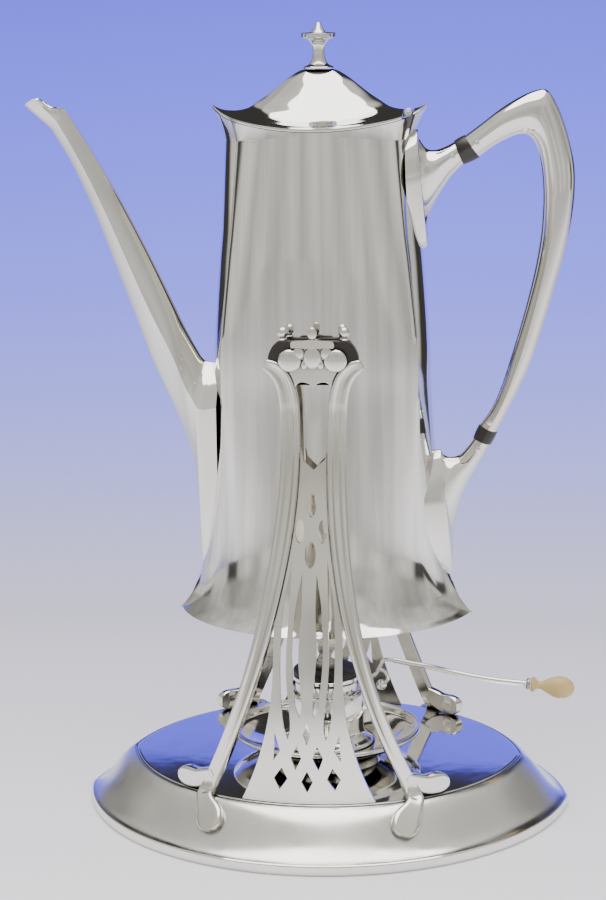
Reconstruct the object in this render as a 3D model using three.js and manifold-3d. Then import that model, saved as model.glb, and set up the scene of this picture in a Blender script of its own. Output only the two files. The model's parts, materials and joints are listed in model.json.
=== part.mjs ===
// Silver tea kettle that tilts on a pierced stand with a spirit lamp, in millimetres.
// X runs from the spout (-X) to the handle (+X), Y away from the front and Z up.
// The pieces are drawn about the middle of the base, on the surface that it stands on.
import * as THREE from "three";
import { mergeVertices } from "three/addons/utils/BufferGeometryUtils.js";
import Module from "manifold-3d";

const wasm = await Module();
wasm.setup();

// Clearances
const gap = 0.3; // between pieces that are joined or rest on each other
const runningGap = 0.35; // round a shaft in its bore

// Base
const baseLength = 222;
const baseDepth = 194;
const rimHeight = 4.9;
const rimWidth = 6;
const rimStep = 1;
const platformLength = 178;
const platformDepth = 151;
const platformHeight = 23.8;
const baseWall = 1.6;
const slopeWall = 2.1; // of the tray's slope, measured level

// Frames that carry the kettle, one in front and one behind
const pivotHeight = 212.5;
const frameClearance = 3.4; // between the kettle and the inner faces of the legs
const frameInset = 1.5; // of the frame's middle surface from the platform's edge
const legThickness = 4.6;
const legNeckWidth = 8.5;
const legAnkleWidth = 6.3;
const legNeckX = 10.2;
const legFootX = 46.2;
const legNeckDrop = 42.5; // below the pivot, where the two legs are closest
const footLobeWidth = 9.4;
const panelThickness = 1.6;
const panelWaist = 14.9;
const panelFoot = 29.2;
const panelWaistHeight = 85;
const panelTopDrop = 41.5;

// Bearings
const trunnionRadius = 4;
const bearingTopRise = 6.9;
const bearingDrop = 9.1;
const bearingHalfWidth = 19.6;
const bearingTopHalfWidth = 14.9;
const bearingRecess = 1.7; // of the block's face behind the legs' faces
const apronDrop = 2.2; // of the apron's top edge below the pivot
const rosetteThickness = 1.8;
const rosetteHalfWidth = 9.2;
const lobeRadius = 5;
const lobeSpread = 9.9;
const pinSpread = 13.4;
const pinRadius = 1;
const ballRadius = 2.5;

// Kettle, with heights given from the pivot
const footDrop = 122;
const rimRise = 95.5;
const shoulderDrop = 2; // of the shoulder below the rim's middle
const rimTipLift = 9.9; // of the rim's tips over its middle
const footHalfWidth = 67.2;
const footHalfDepth = 49.5;
const bodyHalfWidth = 49;
const bodyHalfDepth = 28;
const neckHalfWidth = 41.7;
const neckHalfDepth = 27;
const rimHalfLength = 47.5;
const creaseDepth = 14;
const kettleWall = 1.5;
const bottomRise = 9; // of the bottom plate over the foot's edge

// Spout
const spoutReach = 83; // of its lip past the body's side
const spoutRise = 107.1; // of its lip from the pivot
const spoutHalfWidth = 14.2; // at its root
const spoutWall = 1.2;
const pourHoleHalfWidth = 6; // of the way from the body into the spout
const pourHoleTop = -14;
const pourHoleBottom = -52;

// Lid
const lidWall = 1.2;
const lidCrown = 24.6;
const bezelDepth = 3;
const bezelClearance = 8.5; // of its open end from the hinge
const hingeX = 39.5;
const hingeLift = 7.4; // of the hinge's axis over the rim's middle
const knuckleRadius = 1.7;
const hingePinRadius = 0.7;
const hingeHalfLength = 6.4;
const finialFootRadius = 6.6;
const finialStemRadius = 2.6;
const finialDiscRadius = 7.6;
const finialHeight = 20.1;
const finialStudRadius = 1.5;

// Handle
const handleReach = 62.6; // of the grip past the body's side
const handleRise = 111.6; // of the grip's crest from the pivot
const gripHalfWidth = 7;
const bandThickness = 0.6; // how far the insulating bands stand proud
const tenonLength = 7;
const handlePinRadius = 1;

// Lamp
const dishRadius = 43.6;
const dishRimRise = 10;
const drumRadius = 17.2;
const drumHeight = 24;
const neckRadius = 14;
const damperRadius = 15;
const damperThickness = 3;
const burnerRadius = 5;
const rodRadius = 1.25;
const rodStartX = 31;
const rodStartRise = 43;
const rodEndX = 91.4;
const rodEndRise = 33.3;
const knobRadius = 5;
const knobLength = 20;

const { lerp, clamp } = THREE.MathUtils;
const point = (x, y, z) => new THREE.Vector3(x, y, z);

// Materials
const silver = { color: 0xd9d5c8, roughness: 0.18, metalness: 1 };
const darkSilver = { color: 0x8f8c84, roughness: 0.3, metalness: 1 };
const ebony = { color: 0x1c1712, roughness: 0.35, metalness: 0 };
const blackened = { color: 0x14120f, roughness: 0.6, metalness: 0.2 };
const ivory = { color: 0xe8dcc0, roughness: 0.4, metalness: 0 };
const cotton = { color: 0xd8d2c2, roughness: 0.9, metalness: 0 };

const teaKettle = new THREE.Group();
const stand = new THREE.Group();
const kettle = new THREE.Group();
kettle.position.z = pivotHeight;
const lamp = new THREE.Group();
lamp.position.z = platformHeight + gap;
teaKettle.add(stand, kettle, lamp);

function place(group, name, geometry, finish) {
  const mesh = new THREE.Mesh(geometry, new THREE.MeshStandardMaterial(finish));
  mesh.name = name;
  group.add(mesh);
}

// Turns a closed geometry so that its faces point outwards.
function outward(geometry) {
  const { array } = geometry.attributes.position;
  const index = geometry.index.array;
  const corners = [point(), point(), point()];
  let volume = 0;
  for (let i = 0; i < index.length; i += 3) {
    corners.forEach((corner, k) => corner.fromArray(array, index[i + k] * 3));
    volume += corners[0].dot(corners[1].clone().cross(corners[2]));
  }
  if (volume < 0) {
    for (let i = 0; i < index.length; i += 3) {
      [index[i + 1], index[i + 2]] = [index[i + 2], index[i + 1]];
    }
  }
  return geometry;
}

// Keeps only the positions, joins equal points and drops the triangles that this leaves empty.
function weld(geometry) {
  const bare = new THREE.BufferGeometry();
  bare.setAttribute("position", geometry.attributes.position);
  bare.setIndex(geometry.index);
  const merged = mergeVertices(bare, 1e-3);
  const old = merged.index.array;
  const kept = [];
  for (let i = 0; i < old.length; i += 3) {
    const [a, b, c] = [old[i], old[i + 1], old[i + 2]];
    if (a !== b && b !== c && c !== a) kept.push(a, b, c);
  }
  merged.setIndex(kept);
  return outward(merged);
}

function toSolid(geometry) {
  const welded = weld(geometry);
  return new wasm.Manifold(
    new wasm.Mesh({
      numProp: 3,
      vertProperties: new Float32Array(welded.attributes.position.array),
      triVerts: new Uint32Array(welded.index.array),
    }),
  );
}

function toGeometry(solid) {
  const mesh = solid.getMesh();
  const geometry = new THREE.BufferGeometry();
  geometry.setAttribute("position", new THREE.BufferAttribute(mesh.vertProperties, mesh.numProp));
  geometry.setIndex(new THREE.BufferAttribute(mesh.triVerts, 1));
  return geometry;
}

function join(...geometries) {
  return toGeometry(geometries.map(toSolid).reduce((sum, next) => sum.add(next)));
}

function cut(geometry, ...cutters) {
  const result = cutters.reduce((rest, cutter) => rest.subtract(toSolid(cutter)), toSolid(geometry));
  return toGeometry(result);
}

function mirrored(geometry, x, y) {
  return weld(geometry.clone().scale(x, y, 1));
}

// Skins a row of rings, each with as many points, and closes both ends with a fan.
// A looped row joins its last ring to its first instead, which makes a tube or a shell.
function loft(rings, looped = false) {
  const count = rings[0].length;
  const points = rings.flat();
  const index = [];
  const bands = looped ? rings.length : rings.length - 1;
  for (let i = 0; i < bands; i++) {
    const here = i * count;
    const there = ((i + 1) % rings.length) * count;
    for (let j = 0; j < count; j++) {
      const k = (j + 1) % count;
      index.push(here + j, here + k, there + k);
      index.push(here + j, there + k, there + j);
    }
  }
  const addCap = (start, flipped) => {
    const middle = point(0, 0, 0);
    for (let j = 0; j < count; j++) middle.add(points[start + j]);
    const centre = points.push(middle.divideScalar(count)) - 1;
    for (let j = 0; j < count; j++) {
      const k = (j + 1) % count;
      index.push(...(flipped ? [start + k, start + j, centre] : [start + j, start + k, centre]));
    }
  };
  if (!looped) {
    addCap((rings.length - 1) * count, false);
    addCap(0, true);
  }
  const geometry = new THREE.BufferGeometry().setFromPoints(points);
  geometry.setIndex(index);
  return weld(geometry);
}

// A turned piece about a line along Z. The profile's points are [radius, height].
function turned(profile, segments = 24) {
  const points = profile.map(([radius, height]) => new THREE.Vector2(radius, height));
  return weld(new THREE.LatheGeometry(points, segments).rotateX(Math.PI / 2));
}

// A prism along Y of an outline in X and Z, from one distance in front of the middle to another.
function prism(outline, near, far) {
  const shape = new THREE.Shape(outline.map(([x, z]) => new THREE.Vector2(x, z)));
  const settings = { depth: far - near, bevelEnabled: false, curveSegments: 4 };
  return weld(new THREE.ExtrudeGeometry(shape, settings).rotateX(Math.PI / 2).translate(0, -near, 0));
}

function crossBar(radius, length, segments = 20) {
  return new THREE.CylinderGeometry(radius, radius, length, segments);
}

function smoothTube(points, radius, steps, sides = 8) {
  const shape = new THREE.Shape().absarc(0, 0, radius, 0, 2 * Math.PI);
  const extrudePath = new THREE.CatmullRomCurve3(points);
  const settings = { steps, curveSegments: sides / 2, extrudePath, bevelEnabled: false };
  return weld(new THREE.ExtrudeGeometry(shape, settings));
}

// A lens is two equal arcs that meet in a tip at each end of X.
const lensRadius = (lens) => (lens.halfLength ** 2 + lens.halfDepth ** 2) / (2 * lens.halfDepth);

function lensDepthAt(lens, x) {
  const radius = lensRadius(lens);
  return Math.sqrt(Math.max(radius ** 2 - x ** 2, 0)) - (radius - lens.halfDepth);
}

function insetLens(lens, distance) {
  const centre = lensRadius(lens) - lens.halfDepth;
  const radius = lensRadius(lens) - distance;
  return { halfLength: Math.sqrt(radius ** 2 - centre ** 2), halfDepth: lens.halfDepth - distance };
}

function lensRing(lens, z) {
  const steps = 18;
  const radius = lensRadius(lens);
  const centre = radius - lens.halfDepth;
  const start = Math.asin(centre / radius);
  const ring = [];
  for (const side of [1, -1]) {
    for (let i = 0; i < steps; i++) {
      const angle = lerp(start, Math.PI - start, i / steps);
      ring.push(point(side * radius * Math.cos(angle), side * (radius * Math.sin(angle) - centre), z));
    }
  }
  return ring;
}

// The base: a flat rim, and a tray that rises from it in an ogee to the platform.
const rimLens = { halfLength: baseLength / 2, halfDepth: baseDepth / 2 };
const platformLens = { halfLength: platformLength / 2, halfDepth: platformDepth / 2 };
const ogee = (t) => (t + (1 - Math.cos(Math.PI * t)) / 2) / 2;
const slopeHeight = (t) => lerp(platformHeight, rimHeight, ogee(t));
const slopeSteps = [1, 0.84, 0.64, 0.36, 0.16, 0];

function slopeLens(t) {
  const foot = insetLens(rimLens, rimStep);
  return {
    halfLength: lerp(platformLens.halfLength, foot.halfLength, t),
    halfDepth: lerp(platformLens.halfDepth, foot.halfDepth, t),
  };
}

function baseRim() {
  const inner = insetLens(rimLens, rimWidth);
  return loft(
    [lensRing(rimLens, 0), lensRing(rimLens, rimHeight), lensRing(inner, rimHeight), lensRing(inner, 0)],
    true,
  );
}

function baseTray() {
  const ceiling = platformHeight - baseWall;
  const upper = slopeSteps.map((t) => lensRing(slopeLens(t), slopeHeight(t)));
  const under = slopeSteps
    .filter((t) => slopeHeight(t) < ceiling)
    .map((t) => lensRing(insetLens(slopeLens(t), slopeWall), slopeHeight(t)));
  return loft([...upper.reverse(), ...under, lensRing(insetLens(platformLens, slopeWall), ceiling)]);
}

// The space that the base takes, raised by the gap, which the feet are cut with.
function baseClearance() {
  const rings = slopeSteps.map((t) => lensRing(slopeLens(t), slopeHeight(t) + gap));
  return loft([lensRing(slopeLens(1), 0), ...rings]);
}

// The frames swing in from the platform's edge to the bearings.
const frameTopDepth = bodyHalfDepth + frameClearance + legThickness / 2;
const frameFootDepth = platformDepth / 2 - frameInset;
const frameStraightHeight = pivotHeight - legNeckDrop / 2;
const legNeckHeight = pivotHeight - legNeckDrop;

function frameDepth(x, z) {
  const rise = clamp((z - platformHeight) / (frameStraightHeight - platformHeight), 0, 1);
  const swing = (1 + Math.cos(Math.PI * rise ** 1.38)) / 2;
  const bow = platformLens.halfDepth - lensDepthAt(platformLens, x);
  return lerp(frameTopDepth, frameFootDepth, swing) - bow * swing;
}

function legX(z) {
  const drop = clamp((legNeckHeight - z) / (legNeckHeight - platformHeight), 0, 1);
  return lerp(legNeckX, legFootX, drop ** 1.95);
}

const legWidthAt = (z) => lerp(legAnkleWidth, legNeckWidth, clamp((z - 80) / 60, 0, 1));

function legInnerX(z) {
  const slope = legX(z - 0.5) - legX(z + 0.5);
  return legX(z) - (legWidthAt(z) / 2) * Math.hypot(1, slope);
}

// A station of a leg: a point in the middle of its section, the way that its outer face looks, and its width.
function frameStation(x, z, width) {
  const step = 0.5;
  const acrossX = (frameDepth(x + step, z) - frameDepth(x - step, z)) / (2 * step);
  const upZ = (frameDepth(x, z + step) - frameDepth(x, z - step)) / (2 * step);
  const normal = point(-acrossX, -1, -upZ).normalize();
  return { middle: point(x, -frameDepth(x, z), z), normal, width };
}

function slopeStation(x, t, width) {
  const step = 0.02;
  const depthAt = (px, pt) => lensDepthAt(slopeLens(pt), px);
  const acrossX = depthAt(x + 1, t) - depthAt(x - 1, t);
  const run = (depthAt(x, t + step) - depthAt(x, t - step)) / (2 * step);
  const fall = (slopeHeight(t + step) - slopeHeight(t - step)) / (2 * step);
  const normal = point((acrossX / 2) * fall, fall, run).normalize();
  const surface = point(x, -depthAt(x, t), slopeHeight(t));
  return { middle: surface.addScaledVector(normal, legThickness / 4), normal, width };
}

// A leg's section, as shares of its width and thickness, with a shallow flute down its outer face.
const legSection = [
  [-0.5, -0.5],
  [0.5, -0.5],
  [0.5, 0.2],
  [0.3, 0.5],
  [0, 0.36],
  [-0.3, 0.5],
  [-0.5, 0.2],
];

function sweepStations(stations, grow) {
  const rings = stations.map(({ middle, normal, width }, i) => {
    const before = stations[Math.max(i - 1, 0)].middle;
    const after = stations[Math.min(i + 1, stations.length - 1)].middle;
    const across = after.clone().sub(before).cross(normal).normalize();
    return legSection.map(([u, v]) =>
      middle
        .clone()
        .addScaledVector(across, u * (width + 2 * grow))
        .addScaledVector(normal, v * (legThickness + 2 * grow)),
    );
  });
  return loft(rings);
}

// The stations run from the horn under the bearing to the lobe that lies on the slope of the base.
function legStations() {
  const horn = [
    [18.7, -2.2, legNeckWidth - 1.3],
    [17, -4.4, legNeckWidth - 0.1],
    [14.6, -7, legNeckWidth + 0.2],
    [12.4, -10.4, legNeckWidth - 0.1],
    [11.1, -14.6, legNeckWidth - 0.4],
    [10.3, -25, legNeckWidth],
  ].map(([x, rise, width]) => frameStation(x, pivotHeight + rise, width));
  const shaft = [];
  const shaftSteps = 9;
  const shaftEnd = platformHeight + 7;
  for (let i = 0; i <= shaftSteps; i++) {
    const z = lerp(legNeckHeight, shaftEnd, i / shaftSteps);
    shaft.push(frameStation(legX(z), z, legWidthAt(z)));
  }
  const lobe = [
    [-0.9, 0.06, 6.9],
    [-1.5, 0.18, 7.6],
    [-2.5, 0.3, footLobeWidth],
    [-3.2, 0.42, footLobeWidth + 1],
    [-3.2, 0.53, footLobeWidth - 0.6],
    [-3, 0.61, footLobeWidth / 2],
  ].map(([x, t, width]) => slopeStation(legFootX + x, t, width));
  return [...horn, ...shaft, ...lobe];
}

function sideLobeStations() {
  const middle = platformHeight + gap + footLobeWidth / 2;
  return [
    [legFootX - 4.4, middle + 5, 4],
    [legFootX - 0.4, middle + 2.4, 7],
    [legFootX + 3.4, middle + 0.5, footLobeWidth - 1],
    [legFootX + 7.4, middle, footLobeWidth],
    [legFootX + 10.6, middle, footLobeWidth - 1.6],
    [legFootX + 12.4, middle, footLobeWidth / 2.4],
  ].map(([x, z, width]) => frameStation(x, z, width));
}

const rightLegSpace = sweepStations(legStations(), gap);

function leg() {
  const both = join(sweepStations(legStations(), 0), sweepStations(sideLobeStations(), 0));
  return cut(both, baseClearance());
}

// The pierced panel between the legs of a frame.
function panelHalfWidth(z) {
  const spread = clamp((panelWaistHeight - z) / (panelWaistHeight - platformHeight), 0, 1);
  return Math.min(lerp(panelWaist, panelFoot, spread ** 2.1), legInnerX(z) - gap);
}

function panelPlate() {
  const columns = 5;
  const top = pivotHeight - panelTopDrop;
  const bottom = platformHeight + gap;
  const rows = 11;
  const rings = [];
  for (let row = 0; row <= rows; row++) {
    const z = lerp(bottom, top, row / rows);
    const line = (offset) =>
      Array.from({ length: columns + 1 }, (_, i) => {
        const x = panelHalfWidth(z) * lerp(-1, 1, i / columns);
        return point(x, -frameDepth(x, z) - offset, z);
      });
    rings.push([...line(panelThickness / 2), ...line(-panelThickness / 2).reverse()]);
  }
  return loft(rings);
}

function diamond(x, z, halfWidth, halfHeight) {
  return [
    [x - halfWidth, z],
    [x, z - halfHeight],
    [x + halfWidth, z],
    [x, z + halfHeight],
  ];
}

function oval(x, z, halfWidth, halfHeight) {
  const corners = 6;
  return Array.from({ length: corners }, (_, i) => {
    const angle = (2 * Math.PI * i) / corners;
    return [x + halfWidth * Math.cos(angle), z + halfHeight * Math.sin(angle)];
  });
}

// Piercings on the middle line, and those that have a twin on the left, as [x, z] from the base's surface.
const middlePiercings = [
  diamond(0, 34, 2.5, 4.8),
  diamond(0, 55, 1.7, 4.8),
  oval(0, 129, 2.1, 6),
  oval(0, 149, 1.7, 5.4),
];
const sidePiercings = [
  diamond(11.5, 35.2, 2.8, 5),
  diamond(4.7, 44.5, 2.3, 5.4),
  [
    [14.6, 43],
    [14, 55.4],
    [11.6, 47.6],
  ],
  [
    [3.2, 62.2],
    [5.2, 68],
    [6.7, 88],
    [5.7, 107],
    [3.2, 121.5],
    [2.9, 107],
    [4, 88],
    [2.3, 68],
  ],
  [
    [8.2, 52.4],
    [10.4, 60],
    [11.8, 82],
    [10.9, 108],
    [7.2, 127],
    [8.3, 108],
    [9.3, 82],
    [7.2, 60],
  ],
  oval(4.9, 138.5, 1.6, 5.6),
];

function panel() {
  const far = frameFootDepth + legThickness;
  const near = frameTopDepth - legThickness;
  const holes = middlePiercings.map((outline) => prism(outline, near, far));
  for (const outline of sidePiercings) {
    const hole = prism(outline, near, far);
    holes.push(hole, mirrored(hole, -1, 1));
  }
  const top = pivotHeight - panelTopDrop;
  const notch = [
    [-legNeckX, top + 2],
    [0, top - 6.5],
    [legNeckX, top + 2],
  ];
  holes.push(prism(notch, near, far));
  return cut(panelPlate(), ...holes);
}

const fromPivot = ([x, rise]) => [x, pivotHeight + rise];

function mirrorOutline(half) {
  const offMiddle = half.filter(([x]) => x > 0);
  return [...half, ...offMiddle.map(([x, z]) => [-x, z]).reverse()];
}

const frameFace = frameTopDepth + legThickness / 2;
const bearingInner = frameTopDepth - legThickness / 2 - 1.1;
const bearingOuter = frameFace - bearingRecess;

// The web that ties the two legs of a frame under the bearing, with two arches along its lower edge.
// An apron rises from it over the lower part of the bearing block.
function yoke() {
  const halfWidth = legNeckX;
  const top = -bearingDrop - gap;
  const webHalf = [
    [0, -12.9],
    [halfWidth * 0.18, -11.7],
    [halfWidth * 0.45, -10.9],
    [halfWidth * 0.75, -11.9],
    [halfWidth, -15],
    [halfWidth, top],
  ].map(fromPivot);
  const apronHalf = [
    [halfWidth - 0.1, top - 0.6],
    [bearingHalfWidth * 0.68, -6],
    [bearingHalfWidth * 0.68, -apronDrop],
  ].map(fromPivot);
  const web = prism(mirrorOutline(webHalf), frameTopDepth - legThickness / 3, frameFace);
  const apron = prism(mirrorOutline(apronHalf), bearingOuter + gap, frameFace);
  const infrontOfLeg = rightLegSpace.clone().translate(0, -legThickness / 2, 0);
  const cutters = [rightLegSpace, infrontOfLeg].flatMap((space) => [space, mirrored(space, -1, 1)]);
  return cut(join(web, apron), ...cutters);
}

// The black block that the trunnion turns in. It rests on the horns of the legs and on the web.
function bearing() {
  const half = [
    [legNeckX - 1, -bearingDrop],
    [bearingHalfWidth, -1.6],
    [bearingHalfWidth - 0.6, 0.6],
    [lerp(bearingHalfWidth, bearingTopHalfWidth, 0.5), bearingTopRise - 2.2],
    [bearingTopHalfWidth, bearingTopRise],
  ].map(fromPivot);
  const block = prism(mirrorOutline(half), bearingInner, bearingOuter);
  const depth = (bearingInner + bearingOuter) / 2;
  const bore = crossBar(trunnionRadius + runningGap, 20).translate(0, -depth, pivotHeight);
  const pinBores = [-1, 1].map((side) =>
    new THREE.CylinderGeometry(pinRadius + gap, pinRadius + gap, 18, 8)
      .rotateX(Math.PI / 2)
      .translate(side * pinSpread, -depth, pivotHeight + bearingTopRise),
  );
  return cut(block, bore, ...pinBores, rightLegSpace, mirrored(rightLegSpace, -1, 1));
}

function bearingPin(side) {
  const ballHeight = bearingTopRise + 3.5;
  const profile = [
    [0, bearingTopRise - 7],
    [pinRadius, bearingTopRise - 7],
    [pinRadius, bearingTopRise + gap],
    [1.9, bearingTopRise + gap],
    [1.9, bearingTopRise + 0.9],
  ];
  for (let angle = -50; angle <= 90; angle += 35) {
    const turn = THREE.MathUtils.degToRad(angle);
    profile.push([Math.abs(ballRadius * Math.cos(turn)), ballHeight + ballRadius * Math.sin(turn)]);
  }
  profile[profile.length - 1][0] = 0;
  const depth = (bearingInner + bearingOuter) / 2;
  return turned(profile, 8).translate(side * pinSpread, -depth, pivotHeight);
}

// The silver rosette on the apron: a tulip under a bar, two round lobes and a bud on top.
function rosette() {
  const near = frameFace + gap;
  const far = near + rosetteThickness;
  const width = rosetteHalfWidth;
  const halfTulip = [
    [0, -4.6],
    [width * 0.28, -3.8],
    [width * 0.5, -1.4],
    [width * 0.68, 0.4],
    [width * 0.86, 3.9],
    [width, 4.3],
    [width, 7.2],
    [0, 7.9],
  ].map(fromPivot);
  const pieces = [prism(mirrorOutline(halfTulip), near, far)];
  for (const side of [-1, 1]) {
    const lobe = new THREE.CylinderGeometry(lobeRadius, lobeRadius - 1.4, rosetteThickness, 14);
    pieces.push(lobe.translate(side * lobeSpread, -(near + far) / 2, pivotHeight - 1.3));
  }
  const budHeight = 5.4;
  const bud = new THREE.CylinderGeometry(0.5, rosetteThickness * 0.9, budHeight, 8).rotateX(Math.PI / 2);
  pieces.push(bud.translate(0, -(near + far) / 2, pivotHeight + 7.6 + budHeight / 2));
  return join(...pieces);
}

function addStand() {
  place(stand, "base_foot_rim", baseRim(), silver);
  place(stand, "base_tray", baseTray(), silver);
  const rightLeg = leg();
  const shapes = { panel: panel(), yoke: yoke(), bearing: bearing(), rosette: rosette() };
  const faces = [
    ["front", 1],
    ["back", -1],
  ];
  for (const [face, y] of faces) {
    place(stand, "leg_" + face + "_right", mirrored(rightLeg, 1, y), silver);
    place(stand, "leg_" + face + "_left", mirrored(rightLeg, -1, y), silver);
    place(stand, "pierced_panel_" + face, mirrored(shapes.panel, 1, y), silver);
    place(stand, "bearing_yoke_" + face, mirrored(shapes.yoke, 1, y), silver);
    place(stand, "ebony_bearing_" + face, mirrored(shapes.bearing, 1, y), ebony);
    place(stand, "rosette_" + face, mirrored(shapes.rosette, 1, y), silver);
    place(stand, "ball_pin_" + face + "_left", mirrored(bearingPin(-1), 1, y), silver);
    place(stand, "ball_pin_" + face + "_right", mirrored(bearingPin(1), 1, y), silver);
  }
}

// The kettle's plan: a bowed front and back, and a narrower strip on each side between two creases.
// Each section says how far up the body it lies, how much of the foot's or neck's size it has,
// how far the side strip bulges past the creases, and how far the creases lie from the middle plane.
const bodySections = [
  { at: 0, foot: 1, bulge: 1.2, crease: 0.8 },
  { at: 0.016, foot: 0.82, bulge: 3.5, crease: 4.5 },
  { at: 0.044, foot: 0.62, bulge: 6.5, crease: 9 },
  { at: 0.1, foot: 0.39, bulge: 8.5, crease: 12 },
  { at: 0.173, foot: 0.25, bulge: 9, crease: 13.3 },
  { at: 0.325, foot: 0.1, bulge: 6.9, crease: creaseDepth },
  { at: 0.465, foot: 0, bulge: 5, crease: creaseDepth },
  { at: 0.571, neck: 0.08, bulge: 5, crease: creaseDepth },
  { at: 0.732, neck: 0.44, bulge: 6, crease: creaseDepth },
  { at: 0.8115, neck: 0.67, bulge: 6.3, crease: creaseDepth },
  { at: 0.919, neck: 0.86, bulge: 7.2, crease: creaseDepth },
  { at: 1, neck: 1, bulge: 7.7, crease: creaseDepth },
];

function sectionPlan({ foot = 0, neck = 0, bulge, crease, at }) {
  const halfWidth = lerp(lerp(bodyHalfWidth, footHalfWidth, foot), neckHalfWidth, neck);
  const halfDepth = lerp(lerp(bodyHalfDepth, footHalfDepth, foot), neckHalfDepth, neck);
  const roundness = at < 0.1 ? 1.1 : 1.7;
  return { halfWidth, halfDepth, creaseX: halfWidth - bulge, creaseY: crease, roundness };
}

// The rim's plan is a lens, given in the same terms.
const rimPlan = (() => {
  const lens = { halfLength: rimHalfLength, halfDepth: neckHalfDepth };
  const creaseX = rimHalfLength * 0.81;
  return {
    halfWidth: rimHalfLength,
    halfDepth: neckHalfDepth,
    creaseX,
    creaseY: lensDepthAt(lens, creaseX),
    roundness: 1.1,
  };
})();

function growPlan(plan, distance) {
  return {
    ...plan,
    halfWidth: plan.halfWidth + distance,
    halfDepth: plan.halfDepth + distance,
    creaseX: plan.creaseX + distance,
    creaseY: Math.max(plan.creaseY + distance * 0.6, 0.3),
  };
}

function planRing(plan, heightAt) {
  const arcSteps = 10;
  const stripSteps = 3;
  const quarter = [];
  for (let i = 0; i < stripSteps; i++) {
    const share = i / stripSteps;
    const x = plan.creaseX + (plan.halfWidth - plan.creaseX) * (1 - share ** plan.roundness);
    quarter.push([x, plan.creaseY * share]);
  }
  const sagitta = plan.halfDepth - plan.creaseY;
  const radius = (plan.creaseX ** 2 + sagitta ** 2) / (2 * sagitta);
  const spread = Math.asin(Math.min(plan.creaseX / radius, 1));
  for (let i = 0; i < arcSteps / 2; i++) {
    const angle = lerp(spread, 0, i / (arcSteps / 2));
    quarter.push([radius * Math.sin(angle), plan.halfDepth - radius * (1 - Math.cos(angle))]);
  }
  const middle = [0, plan.halfDepth];
  const half = [...quarter, middle, ...quarter.slice(1).reverse().map(([x, y]) => [-x, y])];
  const back = half.map(([x, y]) => point(x, y, heightAt(x, y)));
  const front = half.map(([x, y]) => point(-x, -y, heightAt(-x, -y)));
  return [...back, ...front];
}

const shoulderRise = rimRise - shoulderDrop;
const rimTipRise = rimRise + rimTipLift;
const hingeRise = rimRise + hingeLift;
const bodyHeight = footDrop + shoulderRise;
const sectionHeight = (section) => -footDrop + bodyHeight * section.at;
const shoulderHeight = (x) => shoulderRise - 3 * (x / 34) ** 2;

function rimHeightAt(x) {
  const share = Math.min(Math.abs(x) / rimHalfLength, 1.05);
  return rimRise + (rimTipRise - rimRise) * (0.7 * share ** 2 + 0.3 * share ** 10);
}

// The flare between the shoulder's crease and the rim.
function flareRing(share, distance) {
  const shoulder = planRing(growPlan(sectionPlan(bodySections.at(-1)), distance), shoulderHeight);
  const rim = planRing(growPlan(rimPlan, distance), rimHeightAt);
  return shoulder.map((low, i) => {
    const mixed = low.clone().lerp(rim[i], share ** 1.7);
    mixed.z = lerp(low.z, rim[i].z, share);
    return mixed;
  });
}

function bodyRings(distance) {
  const rings = bodySections
    .slice(0, -1)
    .map((section) => planRing(growPlan(sectionPlan(section), distance), () => sectionHeight(section)));
  return [...rings, flareRing(0, distance), flareRing(0.5, distance), flareRing(1, distance)];
}

const bodySpace = loft(bodyRings(gap));

function kettleBody() {
  const inside = bodyRings(-kettleWall).filter((ring, i, rings) => i % 2 === 0 || i > rings.length - 5);
  const shell = loft([...bodyRings(0), ...inside.reverse()], true);
  const holeHeight = pourHoleTop - pourHoleBottom;
  const hole = new THREE.CylinderGeometry(holeHeight / 2, holeHeight / 2, 20, 20)
    .rotateZ(Math.PI / 2)
    .scale(1, (2 * pourHoleHalfWidth) / holeHeight, 1)
    .translate(-bodyHalfWidth, 0, (pourHoleTop + pourHoleBottom) / 2);
  return cut(shell, hole);
}

function kettleBottom() {
  const bottom = -footDrop + bottomRise;
  const share = bottomRise / bodyHeight;
  const upper = bodySections.findIndex((section) => section.at >= share);
  const [a, b] = [bodySections[upper - 1], bodySections[upper]];
  const mix = (share - a.at) / (b.at - a.at);
  const [planA, planB] = [sectionPlan(a), sectionPlan(b)];
  const plan = { roundness: planA.roundness };
  for (const key of ["halfWidth", "halfDepth", "creaseX", "creaseY"]) plan[key] = lerp(planA[key], planB[key], mix);
  const ring = (z, extra) => planRing(growPlan(plan, -kettleWall - gap - extra), () => z);
  return loft([ring(bottom, 0), ring(bottom + kettleWall, 2.6)]);
}

// A ring of a handle or spout, in the plane Y = 0 from its upper point to its lower point,
// with the ridge on each side at the given share of the way and half width.
function ridgeRing([upperX, upperZ], [lowerX, lowerZ], share, halfWidth, grow = 0) {
  const upper = point(upperX, 0, upperZ);
  const lower = point(lowerX, 0, lowerZ);
  const along = lower.clone().sub(upper).normalize();
  upper.addScaledVector(along, -grow);
  lower.addScaledVector(along, grow);
  const width = halfWidth + grow;
  const sidePoints = (side) => {
    const steps = [
      [share * 0.36, 0.5],
      [share * 0.7, 0.84],
      [share, 1],
      [share + (1 - share) * 0.36, 0.8],
      [share + (1 - share) * 0.7, 0.46],
    ];
    return steps.map(([down, out]) => upper.clone().lerp(lower, down).add(point(0, side * width * out, 0)));
  };
  return [upper, ...sidePoints(1), lower, ...sidePoints(-1).reverse()];
}

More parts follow.
